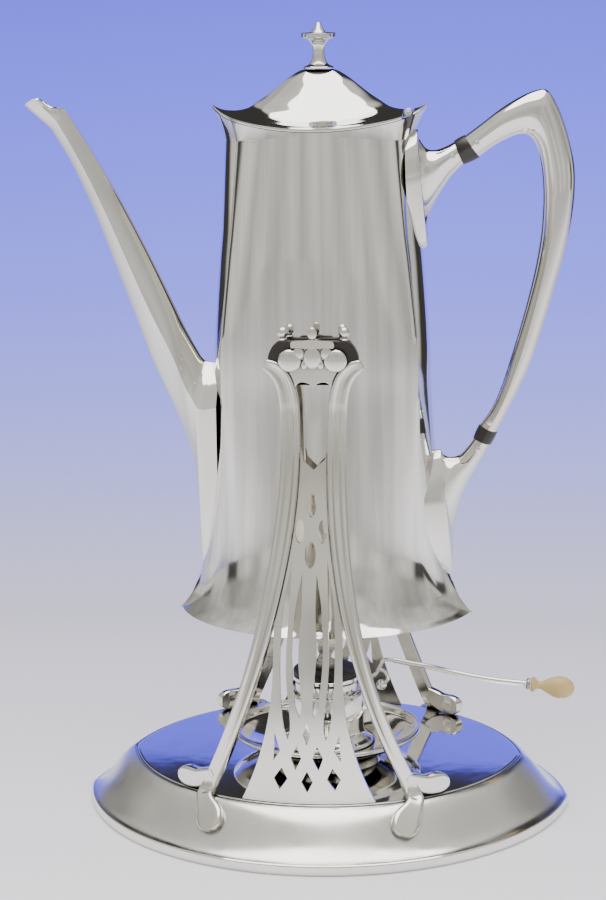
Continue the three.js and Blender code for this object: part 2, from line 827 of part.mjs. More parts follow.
// Spout stations from the root to near the lip: upper edge, lower edge, the ridge's share and half width.
// The points are [how far past the body's side, height from the pivot].
const spoutStations = [
  [[-11, -8], [-4, -104], 0.18, 14],
  [[1, -7.9], [8, -104], 0.2, 14.2],
  [[4.6, -6.8], [8, -98], 0.22, 14],
  [[8.2, -1.1], [7.9, -74], 0.3, 13],
  [[13.4, 8.9], [9.5, -57], 0.38, 12],
  [[18, 19], [15.8, -35], 0.42, 10.8],
  [[26.8, 37.5], [28, -7.1], 0.46, 9.3],
  [[35.5, 55], [36.5, 16.1], 0.48, 8.2],
  [[44.3, 71.7], [45.4, 40.2], 0.48, 7.2],
  [[53, 86.5], [53.8, 62.2], 0.48, 6.4],
  [[60, 97.8], [62.8, 82], 0.5, 5.8],
  [[64, 104], [71.5, 97], 0.5, 5.2],
];

// The mouth: [past the body's side, height, half width] from its back corner over the side's crest to the lip.
const mouthPoints = [
  [65, 105.6, 0],
  [67.8, 105.8, 3.4],
  [71.9, 106.4, 4.9],
  [77.3, 109.9, 3.8],
  [79.9, 109.2, 2.6],
  [81.8, 108, 1.6],
  [83, 107.1, 0],
];

// The tables are stretched to the spout's own reach, rise and width.
function spoutRings(grow) {
  const [tableReach, tableRise] = mouthPoints.at(-1);
  const place2d = ([past, rise]) => [
    -(bodyHalfWidth + (past * spoutReach) / tableReach),
    (rise * spoutRise) / tableRise,
  ];
  const widthScale = spoutHalfWidth / spoutStations[1][3];
  const rings = spoutStations.map(([upper, lower, share, halfWidth]) =>
    ridgeRing(place2d(upper), place2d(lower), share, halfWidth * widthScale, grow),
  );
  const side = (sign) =>
    mouthPoints.map(([past, rise, width], i) => {
      const inward = i === 0 ? grow : i === mouthPoints.length - 1 ? -grow : 0;
      const halfWidth = width ? Math.max(width * widthScale + grow, 0.4) : 0;
      const [x, z] = place2d([past, rise]);
      return point(x + inward, sign * halfWidth, z);
    });
  rings.push([...side(1), ...side(-1).slice(1, -1).reverse()]);
  return rings;
}

function spout() {
  const shell = loft([...spoutRings(0), ...spoutRings(-spoutWall).reverse()], true);
  return cut(shell, bodySpace);
}

// Handle stations: inner or upper edge, outer or lower edge, the ridge's share and half width.
const upperSocketStations = [
  [[-11, 94], [-9, 42], 0.4, 12.5],
  [[-6.2, 95.4], [-2, 44.3], 0.4, 12],
  [[-5.2, 91.6], [-1.9, 50], 0.36, 11.4],
  [[-2.1, 87.1], [-0.8, 57.7], 0.35, 9.8],
  [[1.9, 86.4], [2.2, 64.8], 0.36, 8],
  [[6.5, 87.9], [8.7, 74.7], 0.42, 6.6],
  [[10.2, 89.9], [14.2, 80.4], 0.5, 5.6],
];
const gripStations = [
  [[14.8, 92.4], [20.9, 83.4], 0.5, 5.8],
  [[22.5, 98.1], [27.4, 88], 0.5, 5.9],
  [[30, 103.8], [32.5, 90.8], 0.5, 6.1],
  [[38, 108.7], [37.5, 92.7], 0.55, 6.4],
  [[45, 111.6], [41.5, 92.8], 0.58, 6.7],
  [[50.4, 111.5], [44.3, 90.3], 0.6, 6.9],
  [[55.2, 103.8], [46.4, 85], 0.6, 7],
  [[59, 93.5], [47.9, 76.5], 0.62, 7],
  [[61.9, 81.5], [48.6, 68], 0.62, 7],
  [[62.6, 70.5], [48.5, 59.5], 0.62, 7],
  [[61.6, 57.5], [47.8, 49.5], 0.62, 6.9],
  [[59.2, 44.5], [46.2, 39], 0.62, 6.8],
  [[55.5, 30.5], [43.9, 28], 0.6, 6.6],
  [[49.5, 10], [40.4, 14], 0.58, 6.2],
  [[44.5, -5.5], [36.4, 0], 0.56, 5.9],
  [[38.4, -19.7], [31.2, -16.7], 0.54, 5.6],
  [[33, -30.5], [26.7, -27.5], 0.52, 5.3],
  [[28.8, -38.6], [21.6, -35.3], 0.5, 5.2],
];
const lowerSocketStations = [
  [[26, -44], [18.9, -41.4], 0.5, 5.1],
  [[23.4, -48.9], [16.2, -45.2], 0.5, 5.3],
  [[19.5, -55.6], [12.5, -49.1], 0.52, 6.2],
  [[15, -64], [8.5, -50.3], 0.55, 7.6],
  [[11.6, -74.5], [5.8, -49.5], 0.6, 9.2],
  [[9.7, -85.5], [4.2, -47.9], 0.62, 10.2],
  [[8.9, -103], [3.3, -46.9], 0.66, 10.8],
  [[-1, -104], [-4, -48], 0.66, 11.4],
];

// The tables are stretched to the handle's own reach, rise and width.
const tableReach = Math.max(...gripStations.map(([outer]) => outer[0]));
const tableRise = Math.max(...gripStations.map(([outer]) => outer[1]));
const tableHalfWidth = Math.max(...gripStations.map((station) => station[3]));
const handleWidthScale = gripHalfWidth / tableHalfWidth;

function handlePoint([past, rise]) {
  return [bodyHalfWidth + (past * handleReach) / tableReach, (rise * handleRise) / tableRise];
}

function ridgeRings(stations, grow = 0) {
  return stations.map(([a, b, share, halfWidth]) =>
    ridgeRing(handlePoint(a), handlePoint(b), share, halfWidth * handleWidthScale, grow),
  );
}

// An insulating band between two stations, with a tenon into the piece on each side.
function bandAxis(first, last) {
  const middleOf = ([a, b]) => {
    const [x, z] = handlePoint([(a[0] + b[0]) / 2, (a[1] + b[1]) / 2]);
    return point(x, 0, z);
  };
  const start = middleOf(first);
  const end = middleOf(last);
  return { start, end, direction: end.clone().sub(start).normalize() };
}

function tenonRings(first, last, grow) {
  const { direction } = bandAxis(first, last);
  const share = 0.5;
  const shrink = (ring) => {
    const middle = ring.reduce((sum, corner) => sum.add(corner), point(0, 0, 0)).divideScalar(ring.length);
    return ring.map((corner) => {
      const offset = corner.clone().sub(middle);
      const length = offset.length();
      return middle.clone().addScaledVector(offset.normalize(), length * share + grow);
    });
  };
  const shift = (ring, distance) => ring.map((corner) => corner.clone().addScaledVector(direction, distance));
  const [a, b] = ridgeRings([first, last]);
  return [shift(shrink(a), -tenonLength - grow), shrink(a), shrink(b), shift(shrink(b), tenonLength + grow)];
}

function insulator(first, last, grow = 0) {
  const { direction } = bandAxis(first, last);
  const [a, b] = ridgeRings([first, last], bandThickness + grow);
  const shift = (ring, distance) => ring.map((corner) => corner.clone().addScaledVector(direction, distance));
  return join(loft([shift(a, gap - grow), shift(b, -gap + grow)]), loft(tenonRings(first, last, grow)));
}

const upperBand = [upperSocketStations.at(-1), gripStations[0]];
const lowerBand = [gripStations.at(-1), lowerSocketStations[0]];

// Cross pins through the tenons, which end just proud of the handle: [past the body's side, height, half length].
const handlePins = {
  handle_pin_upper_socket: [9.6, 83.6, 6.1],
  handle_pin_upper_grip: [20, 89.4, 5.8],
  handle_pin_lower_grip: [26, -33.6, 5.1],
  handle_pin_lower_socket: [20.8, -45.8, 5.1],
};

function pinAt(pin, geometry) {
  const [x, z] = handlePoint(pin);
  return geometry.translate(x, 0, z);
}

const pinHoles = () => Object.values(handlePins).map((pin) => pinAt(pin, crossBar(handlePinRadius + gap, 40, 8)));

function handlePin(pin) {
  const halfLength = pin[2] * handleWidthScale;
  const profile = [
    [0, -halfLength - 0.2],
    [handlePinRadius, -halfLength + 0.1],
    [handlePinRadius, halfLength - 0.1],
    [0, halfLength + 0.2],
  ];
  return pinAt(pin, turned(profile, 8).rotateX(Math.PI / 2));
}

function handleGrip() {
  const tenons = [loft(tenonRings(...upperBand, gap)), loft(tenonRings(...lowerBand, gap))];
  return cut(loft(ridgeRings(gripStations)), ...tenons, ...pinHoles());
}

function socket(stations, band) {
  return cut(loft(ridgeRings(stations)), bodySpace, loft(tenonRings(...band, gap)), ...pinHoles());
}

// The trunnions stand out of the kettle's front and back, behind a thin collar.
function trunnion() {
  const collarOuter = bearingInner - gap - 0.4;
  const start = bodyHalfDepth - 3;
  const shaft = crossBar(trunnionRadius, bearingOuter - start - gap).translate(0, -(bearingOuter - gap + start) / 2, 0);
  const collar = crossBar(trunnionRadius + 3, collarOuter - start).translate(0, -(collarOuter + start) / 2, 0);
  return cut(join(shaft, collar), bodySpace);
}

// The lid follows the rim and rises in a bell. Its crown is given along the share of the way from middle to rim.
const crownShape = new THREE.SplineCurve(
  [
    [0, 1],
    [0.185, 0.94],
    [0.28, 0.82],
    [0.37, 0.665],
    [0.465, 0.51],
    [0.56, 0.36],
    [0.65, 0.225],
    [0.745, 0.135],
    [0.84, 0.075],
    [0.92, 0.03],
    [1, 0],
  ].map(([share, height]) => new THREE.Vector2(share, height)),
);

function lidRing(share, offset) {
  return planRing(rimPlan, () => 0).map((corner) => {
    const [x, y] = [corner.x * share, corner.y * share];
    const crown = lidCrown * crownAt(share);
    return point(x, y, rimHeightAt(x) + gap + crown + offset);
  });
}

function crownAt(share) {
  const steps = 80;
  for (let i = 1; i <= steps; i++) {
    const here = crownShape.getPoint(i / steps);
    if (here.x >= share) {
      const before = crownShape.getPoint((i - 1) / steps);
      return lerp(before.y, here.y, (share - before.x) / (here.x - before.x));
    }
  }
  return 0;
}

const lidShares = [0.1, 0.25, 0.4, 0.56, 0.72, 0.84, 0.91, 1];
const bezelShares = lidShares.slice(5, 7);

function fullLid() {
  const upper = lidShares.map((share) => lidRing(share, lidWall));
  const lower = lidShares.map((share) => lidRing(share, 0));
  return loft([...upper, ...lower.reverse()]);
}

// All that lies past a plane across X, on the side of the given sign.
function beyond(x, sign) {
  const reach = 2 * rimHalfLength;
  const height = 2 * (lidCrown + finialHeight + rimRise);
  return new THREE.BoxGeometry(reach, reach, height).translate(x + (sign * reach) / 2, 0, rimRise);
}

function knuckle(fromY, toY) {
  return crossBar(knuckleRadius, toY - fromY, 16).translate(hingeX, (fromY + toY) / 2, hingeRise);
}

const hingeBore = () => crossBar(hingePinRadius + gap, 40, 12).translate(hingeX, 0, hingeRise);
const lidKnuckleHalf = 2.6;
const lidEdgeX = hingeX - knuckleRadius - 2 * gap;

function hingeTongue(fromX, toX, fromY, toY) {
  const thickness = 1.6;
  const size = [toX - fromX, toY - fromY, thickness];
  return new THREE.BoxGeometry(...size).translate((fromX + toX) / 2, (fromY + toY) / 2, hingeRise - 0.7);
}

function lid() {
  const studHole = new THREE.CylinderGeometry(finialStudRadius + gap, finialStudRadius + gap, 60, 16);
  const top = rimRise + lidCrown;
  const plate = cut(fullLid(), beyond(lidEdgeX, 1), studHole.rotateX(Math.PI / 2).translate(0, 0, top));
  const arm = hingeTongue(lidEdgeX - 4, hingeX, -lidKnuckleHalf, lidKnuckleHalf);
  return cut(join(plate, arm, knuckle(-lidKnuckleHalf, lidKnuckleHalf)), hingeBore());
}

function hingePlate() {
  const from = hingeX + knuckleRadius + 2 * gap;
  const plate = cut(fullLid(), beyond(from, -1));
  const pieces = [plate];
  for (const side of [-1, 1]) {
    const [inner, outer] = [side * (lidKnuckleHalf + gap), side * hingeHalfLength];
    const [low, high] = [Math.min(inner, outer), Math.max(inner, outer)];
    pieces.push(knuckle(low, high));
    pieces.push(hingeTongue(hingeX, from + 1, side > 0 ? low : low + 2, side > 0 ? high - 2 : high));
  }
  return cut(join(...pieces), hingeBore(), bodySpace);
}

function lidBezel() {
  const [inner, outer] = bezelShares;
  const bottom = -gap - bezelDepth;
  const ring = loft([lidRing(outer, -gap), lidRing(inner, -gap), lidRing(inner, bottom), lidRing(outer, bottom)], true);
  return cut(ring, beyond(hingeX - bezelClearance, 1));
}

function finial() {
  const foot = rimRise + lidCrown + lidWall + 2 * gap;
  const nutDepth = 5;
  const profile = [
    [0, -nutDepth],
    [finialStudRadius, -nutDepth],
    [finialStudRadius, 0],
    [finialFootRadius, 0],
    [finialFootRadius, 1],
    [finialStemRadius + 2, 1.5],
    [finialStemRadius + 0.5, 3.6],
    [finialStemRadius, 6.8],
    [finialStemRadius + 0.4, 9.4],
    [finialStemRadius + 2, 11.8],
    [finialDiscRadius - 1.4, finialHeight - 7.2],
    [finialDiscRadius, finialHeight - 6.7],
    [finialDiscRadius, finialHeight - 4.8],
    [finialStemRadius + 0.5, finialHeight - 4.6],
    [1.5, finialHeight - 2.1],
    [0, finialHeight],
  ];
  return turned(profile, 16).translate(0, 0, foot);
}

function finialNut() {
  const inner = finialStudRadius + gap;
  const outer = 2 * finialStudRadius + 0.6;
  const under = rimRise + lidCrown - 1.1;
  const profile = [
    [inner, -2],
    [outer, -2],
    [outer, -gap],
    [inner, -gap],
    [inner, -2],
  ];
  return turned(profile, 6).translate(0, 0, under);
}

function addKettle() {
  place(kettle, "kettle_body", kettleBody(), silver);
  place(kettle, "kettle_bottom", kettleBottom(), silver);
  place(kettle, "spout", spout(), silver);
  place(kettle, "trunnion_front", trunnion(), darkSilver);
  place(kettle, "trunnion_back", mirrored(trunnion(), 1, -1), darkSilver);
  place(kettle, "handle_socket_upper", socket(upperSocketStations, upperBand), silver);
  place(kettle, "handle_socket_lower", socket(lowerSocketStations, lowerBand), silver);
  place(kettle, "insulator_upper", cut(insulator(...upperBand), ...pinHoles()), ebony);
  place(kettle, "insulator_lower", cut(insulator(...lowerBand), ...pinHoles()), ebony);
  place(kettle, "handle_grip", handleGrip(), silver);
  for (const [name, pin] of Object.entries(handlePins)) place(kettle, name, handlePin(pin), silver);
  place(kettle, "hinge_plate", hingePlate(), silver);
  place(kettle, "lid_hinge_pin", crossBar(hingePinRadius, 2 * hingeHalfLength, 12).translate(hingeX, 0, hingeRise), silver);
  place(kettle, "lid", lid(), silver);
  place(kettle, "lid_bezel", lidBezel(), silver);
  place(kettle, "finial", finial(), silver);
  place(kettle, "finial_nut", finialNut(), silver);
}

// The lamp stands on the platform. Its heights are given from its own foot.
const drumBottom = 4.6;
const drumTop = drumBottom + drumHeight;
const collarTop = drumTop + 5;
const damperBottom = collarTop + 2 * gap + 1.7;

function lampDish() {
  const rim = dishRimRise;
  return turned([
    [0, 2],
    [21.5, 2],
    [22, 0],
    [24, 0],
    [25.5, 3],
    [35, 5.6],
    [dishRadius - 2.2, rim - 1.6],
    [dishRadius - 0.3, rim - 0.7],
    [dishRadius, rim + 0.4],
    [dishRadius - 1, rim + 1.1],
    [dishRadius - 2.4, rim + 0.4],
    [33.5, 7],
    [22, 4.2],
    [0, 4.2],
  ]);
}

function lampReservoir() {
  const wall = 1.2;
  const mouth = burnerRadius + gap;
  return turned([
    [0, drumBottom],
    [drumRadius + 5, drumBottom],
    [drumRadius + 4.2, drumBottom + 1.8],
    [drumRadius + 0.8, drumBottom + 4.2],
    [drumRadius, drumBottom + 6.4],
    [drumRadius, drumTop - 1.2],
    [drumRadius - 1.2, drumTop],
    [neckRadius, drumTop],
    [neckRadius, collarTop - 1],
    [neckRadius - 1, collarTop],
    [neckRadius - 2.2, collarTop],
    [neckRadius - 2.2, damperBottom - gap],
    [mouth, damperBottom - gap],
    [mouth, drumTop - wall],
    [drumRadius - wall, drumTop - wall - 1],
    [drumRadius - wall, drumBottom + 5],
    [drumRadius - wall, drumBottom + wall],
    [0, drumBottom + wall],
  ]);
}

function burnerTube() {
  const wall = 1;
  const top = damperBottom + damperThickness + 3.2;
  return turned(
    [
      [burnerRadius - wall, drumTop - 12],
      [burnerRadius, drumTop - 12],
      [burnerRadius, top],
      [burnerRadius - wall, top],
      [burnerRadius - wall, drumTop - 12],
    ],
    20,
  );
}

function wick() {
  const radius = burnerRadius - 1 - gap;
  const top = damperBottom + damperThickness + 4.6;
  return turned(
    [
      [0, drumBottom + 2],
      [radius, drumBottom + 2],
      [radius, top - 0.8],
      [radius - 0.8, top],
      [0, top],
    ],
    12,
  );
}

// The plate over the burner turns with the arm, the rod and the knob.
function damper() {
  const inner = burnerRadius + runningGap;
  const top = damperBottom + damperThickness;
  return turned([
    [inner, damperBottom],
    [damperRadius - 0.4, damperBottom],
    [damperRadius, damperBottom + 0.4],
    [damperRadius, top - 0.5],
    [damperRadius - 0.5, top],
    [inner, top],
    [inner, damperBottom],
  ]);
}

// The rod sags between its two ends: [share of the way out, share of the way down].
const rodPath = [
  [0, 0],
  [0.132, 0.144],
  [0.288, 0.309],
  [0.457, 0.536],
  [0.627, 0.742],
  [0.811, 0.897],
  [1, 1],
].map(([out, down]) => point(lerp(rodStartX, rodEndX, out), 0, lerp(rodStartRise, rodEndRise, down)));

function regulatorArm() {
  const inner = neckRadius - 2.2 + runningGap;
  const low = collarTop + gap;
  const high = damperBottom - gap;
  const ring = turned([
    [inner, low],
    [damperRadius, low],
    [damperRadius, high],
    [inner, high],
    [inner, low],
  ]);
  const middle = (low + high) / 2;
  const bracket = [
    [damperRadius - 1.4, 0, middle],
    [damperRadius + 3.6, 0, middle],
    [damperRadius + 7.6, 0, middle + 1],
    [damperRadius + 9.6, 0, middle + 4.4],
    [rodStartX - 4, 0, rodStartRise - 0.1],
    [rodStartX - 0.4, 0, rodStartRise + 0.2],
  ].map((corner) => point(...corner));
  const curl = [
    [damperRadius + 9, 0, middle + 4],
    [damperRadius + 12.4, 0, middle + 2.4],
    [damperRadius + 13.4, 0, middle - 1],
    [damperRadius + 11.4, 0, middle - 3.4],
  ].map((corner) => point(...corner));
  const ball = new THREE.SphereGeometry(2.4, 8, 6).translate(damperRadius + 10.6, 0, middle - 3.6);
  const radius = (high - low) / 2;
  return join(ring, smoothTube(bracket, radius, 7, 6), smoothTube(curl, radius, 5, 6), ball);
}

function alongRod(geometry, distance) {
  const end = rodPath.at(-1);
  const direction = end.clone().sub(rodPath.at(-2)).normalize();
  const turn = new THREE.Quaternion().setFromUnitVectors(point(0, 0, 1), direction);
  return geometry.applyQuaternion(turn).translate(...end.clone().addScaledVector(direction, distance));
}

function ferrule() {
  const profile = [
    [0, 0],
    [rodRadius + 0.9, 0],
    [rodRadius + 1.4, 0.8],
    [rodRadius + 1.4, 1.8],
    [0, 1.8],
  ];
  return alongRod(turned(profile, 12), gap);
}

function knob() {
  const profile = [
    [0, 0],
    [3, 0],
    [3.6, 1],
    [3, 2],
    [2, 3],
    [1.8, 4.6],
    [3, 7],
    [knobRadius - 0.6, 10],
    [knobRadius, 13],
    [knobRadius - 0.4, knobLength - 4],
    [knobRadius - 2, knobLength - 1.2],
    [0, knobLength],
  ];
  return alongRod(turned(profile, 16), 2 * gap + 1.8);
}

function addLamp() {
  place(lamp, "lamp_dish", lampDish(), silver);
  place(lamp, "lamp_reservoir", lampReservoir(), silver);
  place(lamp, "burner_tube", burnerTube(), darkSilver);
  place(lamp, "wick", wick(), cotton);
  place(lamp, "damper_plate", damper(), blackened);
  place(lamp, "regulator_arm", regulatorArm(), silver);
  place(lamp, "regulator_rod", smoothTube(rodPath, rodRadius, 8), silver);
  place(lamp, "knob_ferrule", ferrule(), darkSilver);
  place(lamp, "regulator_knob", knob(), ivory);
}

addStand();
addKettle();
addLamp();

// The origin goes under the middle of the whole, between the spout's lip and the lamp's knob.
const middle = new THREE.Box3().setFromObject(teaKettle).getCenter(point(0, 0, 0));
for (const group of teaKettle.children) group.position.x -= middle.x;

export default teaKettle;
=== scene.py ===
"""Silver tea kettle on a pierced stand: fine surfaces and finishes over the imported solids."""

import json
from math import asin, cos, hypot, pi, radians, sin, sqrt

import bmesh
import bpy
import numpy as np
from mathutils import Matrix, Vector
from mathutils.geometry import delaunay_2d_cdt


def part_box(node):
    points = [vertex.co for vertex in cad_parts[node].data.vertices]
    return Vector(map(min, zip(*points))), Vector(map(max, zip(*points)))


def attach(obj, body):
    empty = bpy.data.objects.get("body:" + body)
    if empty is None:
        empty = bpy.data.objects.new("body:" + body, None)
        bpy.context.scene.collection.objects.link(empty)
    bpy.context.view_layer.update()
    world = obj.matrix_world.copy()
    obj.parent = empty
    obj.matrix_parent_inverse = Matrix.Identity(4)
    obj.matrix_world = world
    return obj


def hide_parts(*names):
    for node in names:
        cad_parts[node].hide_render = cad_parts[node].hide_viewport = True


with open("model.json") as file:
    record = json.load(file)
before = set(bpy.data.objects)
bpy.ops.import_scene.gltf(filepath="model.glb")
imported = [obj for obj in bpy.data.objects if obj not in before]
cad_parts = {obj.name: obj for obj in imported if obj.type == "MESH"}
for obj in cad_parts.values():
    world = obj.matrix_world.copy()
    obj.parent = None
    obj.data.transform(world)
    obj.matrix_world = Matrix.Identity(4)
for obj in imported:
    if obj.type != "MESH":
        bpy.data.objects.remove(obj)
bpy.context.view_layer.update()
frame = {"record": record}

# Sizes are in millimetres about the middle of the base and become metres in the frame.
MM = 0.001
rim_low, rim_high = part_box("base_foot_rim")
base_middle = (rim_low.x + rim_high.x) / 2
base_length = (rim_high.x - rim_low.x) / MM
base_depth = (rim_high.y - rim_low.y) / MM
rim_height = rim_high.z / MM
platform_height = (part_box("base_tray")[1] / MM).z
pivot = frame["record"]["behaviour"]["joints"][0]["pos_m"][2] / MM
platform_length = 178
platform_depth = 151
rim_step = 1
rim_width = 6
slope_wall = 2.1
tray_wall = 1.6
gap = 0.3

frame_top_depth = 33.7
frame_foot_depth = platform_depth / 2 - 1.5
frame_straight_height = pivot - 21.25
leg_thickness = 4.6
leg_neck_width = 8.5
leg_ankle_width = 6.3
leg_neck_x = 10.2
leg_foot_x = 46.2
leg_neck_height = pivot - 42.5
foot_lobe = 9.4
panel_thickness = 1.6
bearing_clearance = 1.1
rosette_sink = 1.7

frame_face = frame_top_depth + leg_thickness / 2
bearing_inner = frame_top_depth - leg_thickness / 2 - bearing_clearance
bearing_outer = frame_face - rosette_sink

waist_x, waist_y = 49, 28
foot_x, foot_y = 67.2, 49.5
neck_x, neck_y = 41.7, 27
body_wall = 1.5
foot_height = pivot - 122
shoulder_height = pivot + 93.5
rim_middle_height = pivot + 95.5
rim_tip_rise = 9.9
rim_half_length = 47.5
lid_crown = 24.6
lid_wall = 1.2
hinge_x = 39.5
hinge_height = pivot + 102.9
hinge_radius = 1.7

frame_sides = (("front", 1), ("back", -1))


def lerp(a, b, t):
    return a + (b - a) * t


def clamp(value, low, high):
    return min(max(value, low), high)


def unit(vector):
    return np.asarray(vector) / np.linalg.norm(vector)


def smooth(rows, count):
    """Points on a curve through every row, spread evenly over the rows."""
    rows = np.asarray(rows, float)
    last = len(rows) - 1
    place = np.linspace(0, last, count)
    i = np.clip(place.astype(int), 0, last - 1)
    t = (place - i)[:, None]
    padded = np.vstack([2 * rows[0] - rows[1], rows, 2 * rows[-1] - rows[-2]])
    a, b, c, d = padded[i], padded[i + 1], padded[i + 2], padded[i + 3]
    cubic = -a + 3 * b - 3 * c + d
    square = 2 * a - 5 * b + 4 * c - d
    return 0.5 * (2 * b + (c - a) * t + square * t**2 + cubic * t**3)


# Finishes


def node_material(name):
    material = bpy.data.materials.new(name)
    material.use_nodes = True
    tree = material.node_tree
    return material, tree, tree.nodes["Principled BSDF"]


def fill(node, inputs):
    """Sets each input of a node to a number or colour, or links it to another node's output."""
    for name, value in inputs.items():
        if isinstance(value, bpy.types.NodeSocket):
            node.id_data.links.new(value, node.inputs[name])
        else:
            node.inputs[name].default_value = value


def add_node(tree, kind, output, inputs=None, **settings):
    """A new shader node with its settings and inputs. Gives one of its outputs."""
    node = tree.nodes.new("ShaderNode" + kind)
    for name, value in settings.items():
        setattr(node, name, value)
    fill(node, inputs or {})
    return node.outputs[output]


def noise(tree, scale, detail=4, stretch=(1, 1, 1)):
    """A cloudy pattern that stays where it is on the object."""
    place = add_node(tree, "TexCoord", "Object")
    place = add_node(tree, "Mapping", "Vector", {"Vector": place, "Scale": stretch})
    return add_node(tree, "TexNoise", "Fac", {"Vector": place, "Scale": scale, "Detail": detail})


def ramp(tree, source, stops):
    node = tree.nodes.new("ShaderNodeValToRGB")
    elements = node.color_ramp.elements
    while len(elements) < len(stops):
        elements.new(0.5)
    for element, (position, colour) in zip(elements, stops):
        element.position = position
        element.color = (*colour, 1)
    tree.links.new(source, node.inputs["Fac"])
    return node.outputs["Color"]


def over_range(tree, source, low, high, from_value=0, to_value=1):
    """A value that goes from one number to another while the source goes from low to high."""
    inputs = {"Value": source, "From Min": low, "From Max": high, "To Min": from_value, "To Max": to_value}
    return add_node(tree, "MapRange", "Result", inputs)


def blended(tree, share, first, second, way="MIX"):
    """Two colours in one, by share."""
    inputs = {"Factor": share, "A": first, "B": second}
    return add_node(tree, "Mix", "Result", inputs, data_type="RGBA", blend_type=way)


def bump(tree, source, strength, distance):
    """The direction of a surface with the source as relief."""
    inputs = {"Height": source, "Strength": strength, "Distance": distance}
    return add_node(tree, "Bump", "Normal", inputs)


def silver_finish(name, light, dark, rough, wave=0.25, crevice=3.5, open_at=0.72, grain=(18, 3)):
    """Worn, tarnished silver: clouds from dark to light, painted shade darkening crevices and gaps between
    parts, wiped streaks and slight waves.
    """
    material, tree, shader = node_material(name)
    clouds = ramp(tree, noise(tree, *grain), [(0.35, dark), (0.6, light)])
    # Painted shade: ambient occlusion darkens the colour in crevices and where parts meet, standing for shade
    # there as well as tarnished hollows.
    crevices = add_node(tree, "AmbientOcclusion", "AO", {"Distance": crevice * MM}, samples=6)
    tarnish_and_shade = ramp(tree, crevices, [(0.3, (0.1, 0.09, 0.075)), (open_at, (1, 1, 1))])
    colour = blended(tree, 1, clouds, tarnish_and_shade, "MULTIPLY")
    wipes = over_range(tree, noise(tree, 60, 5, (1, 1, 0.35)), 0.3, 0.7, rough * 0.75, rough * 1.45)
    waves = bump(tree, noise(tree, 55, 2, (1, 1, 0.4)), wave, 0.0005)
    fill(shader, {"Metallic": 1, "Base Color": colour, "Roughness": wipes, "Normal": waves})
    return material


def grained_finish(name, grain, dark, light, light_at, relief, more):
    """A material whose grain goes from dark to light and stands out by a strength and a distance."""
    material, tree, shader = node_material(name)
    pattern = noise(tree, *grain)
    colour = ramp(tree, pattern, [(0.3, dark), (light_at, light)])
    fill(shader, {"Base Color": colour, "Normal": bump(tree, pattern, *relief), **more})
    return material


silver = silver_finish("silver", (0.86, 0.84, 0.79), (0.8, 0.78, 0.73), 0.07, 0.3)
polished = (150, 5, (1, 1, 0.03))
body_silver = silver_finish("body_silver", (0.92, 0.9, 0.85), (0.7, 0.69, 0.65), 0.07, 0.3, grain=polished)
# The frame's finish spreads its painted shade further from crevices and joins.
silver_frame = silver_finish("silver_frame", (0.88, 0.86, 0.8), (0.78, 0.75, 0.67), 0.14, 0.25, 5, 0.86)
mirror_silver = silver_finish("mirror_silver", (0.88, 0.87, 0.83), (0.82, 0.8, 0.76), 0.05, 0.06)
satin_silver = silver_finish("satin_silver", (0.87, 0.86, 0.81), (0.79, 0.78, 0.73), 0.19, 0.2)
dull_silver = silver_finish("dull_silver", (0.55, 0.52, 0.46), (0.3, 0.26, 0.2), 0.3)

# Name, grain, dark and light colour, where the grain is light, relief, and the shader's other numbers.
ebony, ivory, blackened, cotton = (
    grained_finish(*row)
    for row in (
        ("ebony", (120, 6, (1, 1, 0.2)), (0.012, 0.01, 0.008), (0.04, 0.03, 0.022), 0.7, (0.2, 0.0002),
         {"Roughness": 0.32}),
        ("ivory", (90, 4, (0.25, 1, 1)), (0.5, 0.35, 0.13), (0.72, 0.55, 0.26), 0.65, (0.15, 0.0002),
         {"Roughness": 0.38, "Subsurface Weight": 0.15}),
        ("blackened", (160, 6), (0.01, 0.009, 0.008), (0.05, 0.045, 0.04), 0.7, (0.5, 0.0003),
         {"Metallic": 0.3, "Roughness": 0.6}),
        ("cotton", (900, 4, (1, 1, 0.15)), (0.42, 0.38, 0.3), (0.75, 0.71, 0.62), 0.7, (0.8, 0.0004),
         {"Roughness": 0.9}),
    )
)


# Meshes


def place_object(name, data):
    thing = bpy.data.objects.new(name, data)
    bpy.context.scene.collection.objects.link(thing)
    return thing


def put(name, part, body, nodes, material=silver, sharp=38):
    """A piece from points in millimetres and faces, riding on a body in place of its CAD nodes."""
    points, faces = part
    mesh = bpy.data.meshes.new(name)
    mesh.from_pydata((np.asarray(points, float) * MM + (base_middle, 0, 0)).tolist(), [], faces)
    shape = bmesh.new()
    shape.from_mesh(mesh)
    bmesh.ops.remove_doubles(shape, verts=shape.verts, dist=1e-6)
    loose = [point for point in shape.verts if not point.link_faces]
    bmesh.ops.delete(shape, geom=loose, context="VERTS")
    bmesh.ops.recalc_face_normals(shape, faces=shape.faces)
    shape.to_mesh(mesh)
    shape.free()
    mesh.shade_smooth()
    mesh.set_sharp_from_angle(angle=radians(sharp))
    piece = place_object(name, mesh)
    mesh.materials.append(material)
    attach(piece, body)
    if nodes:
        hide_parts(*nodes)
    return piece


def fine(node, part, body, material=silver, sharp=38):
    """A finer piece in place of one CAD node."""
    return put(node + "_fine", part, body, [node], material, sharp)


def skin(rings, looped=False):
    """A part, as points and faces, over rings with as many points each. It has flat ends unless looped."""
    count = len(rings[0])
    points = np.vstack(rings)
    faces = []
    total = len(rings)
    for i in range(total if looped else total - 1):
        here, there = i * count, ((i + 1) % total) * count
        for j in range(count):
            k = (j + 1) % count
            faces.append((here + j, here + k, there + k, there + j))
    if not looped:
        faces.append(tuple(reversed(range(count))))
        faces.append(tuple(range((total - 1) * count, total * count)))
    return points, faces


def merged(*parts):
    points, faces, start = [], [], 0
    for part_points, part_faces in parts:
        points.append(part_points)
        faces += [tuple(i + start for i in face) for face in part_faces]
        start += len(part_points)
    return np.vstack(points), faces


def flipped(part, x, y):
    return np.asarray(part[0]) * (x, y, 1), part[1]


def moved(part, by):
    return np.asarray(part[0]) + by, part[1]


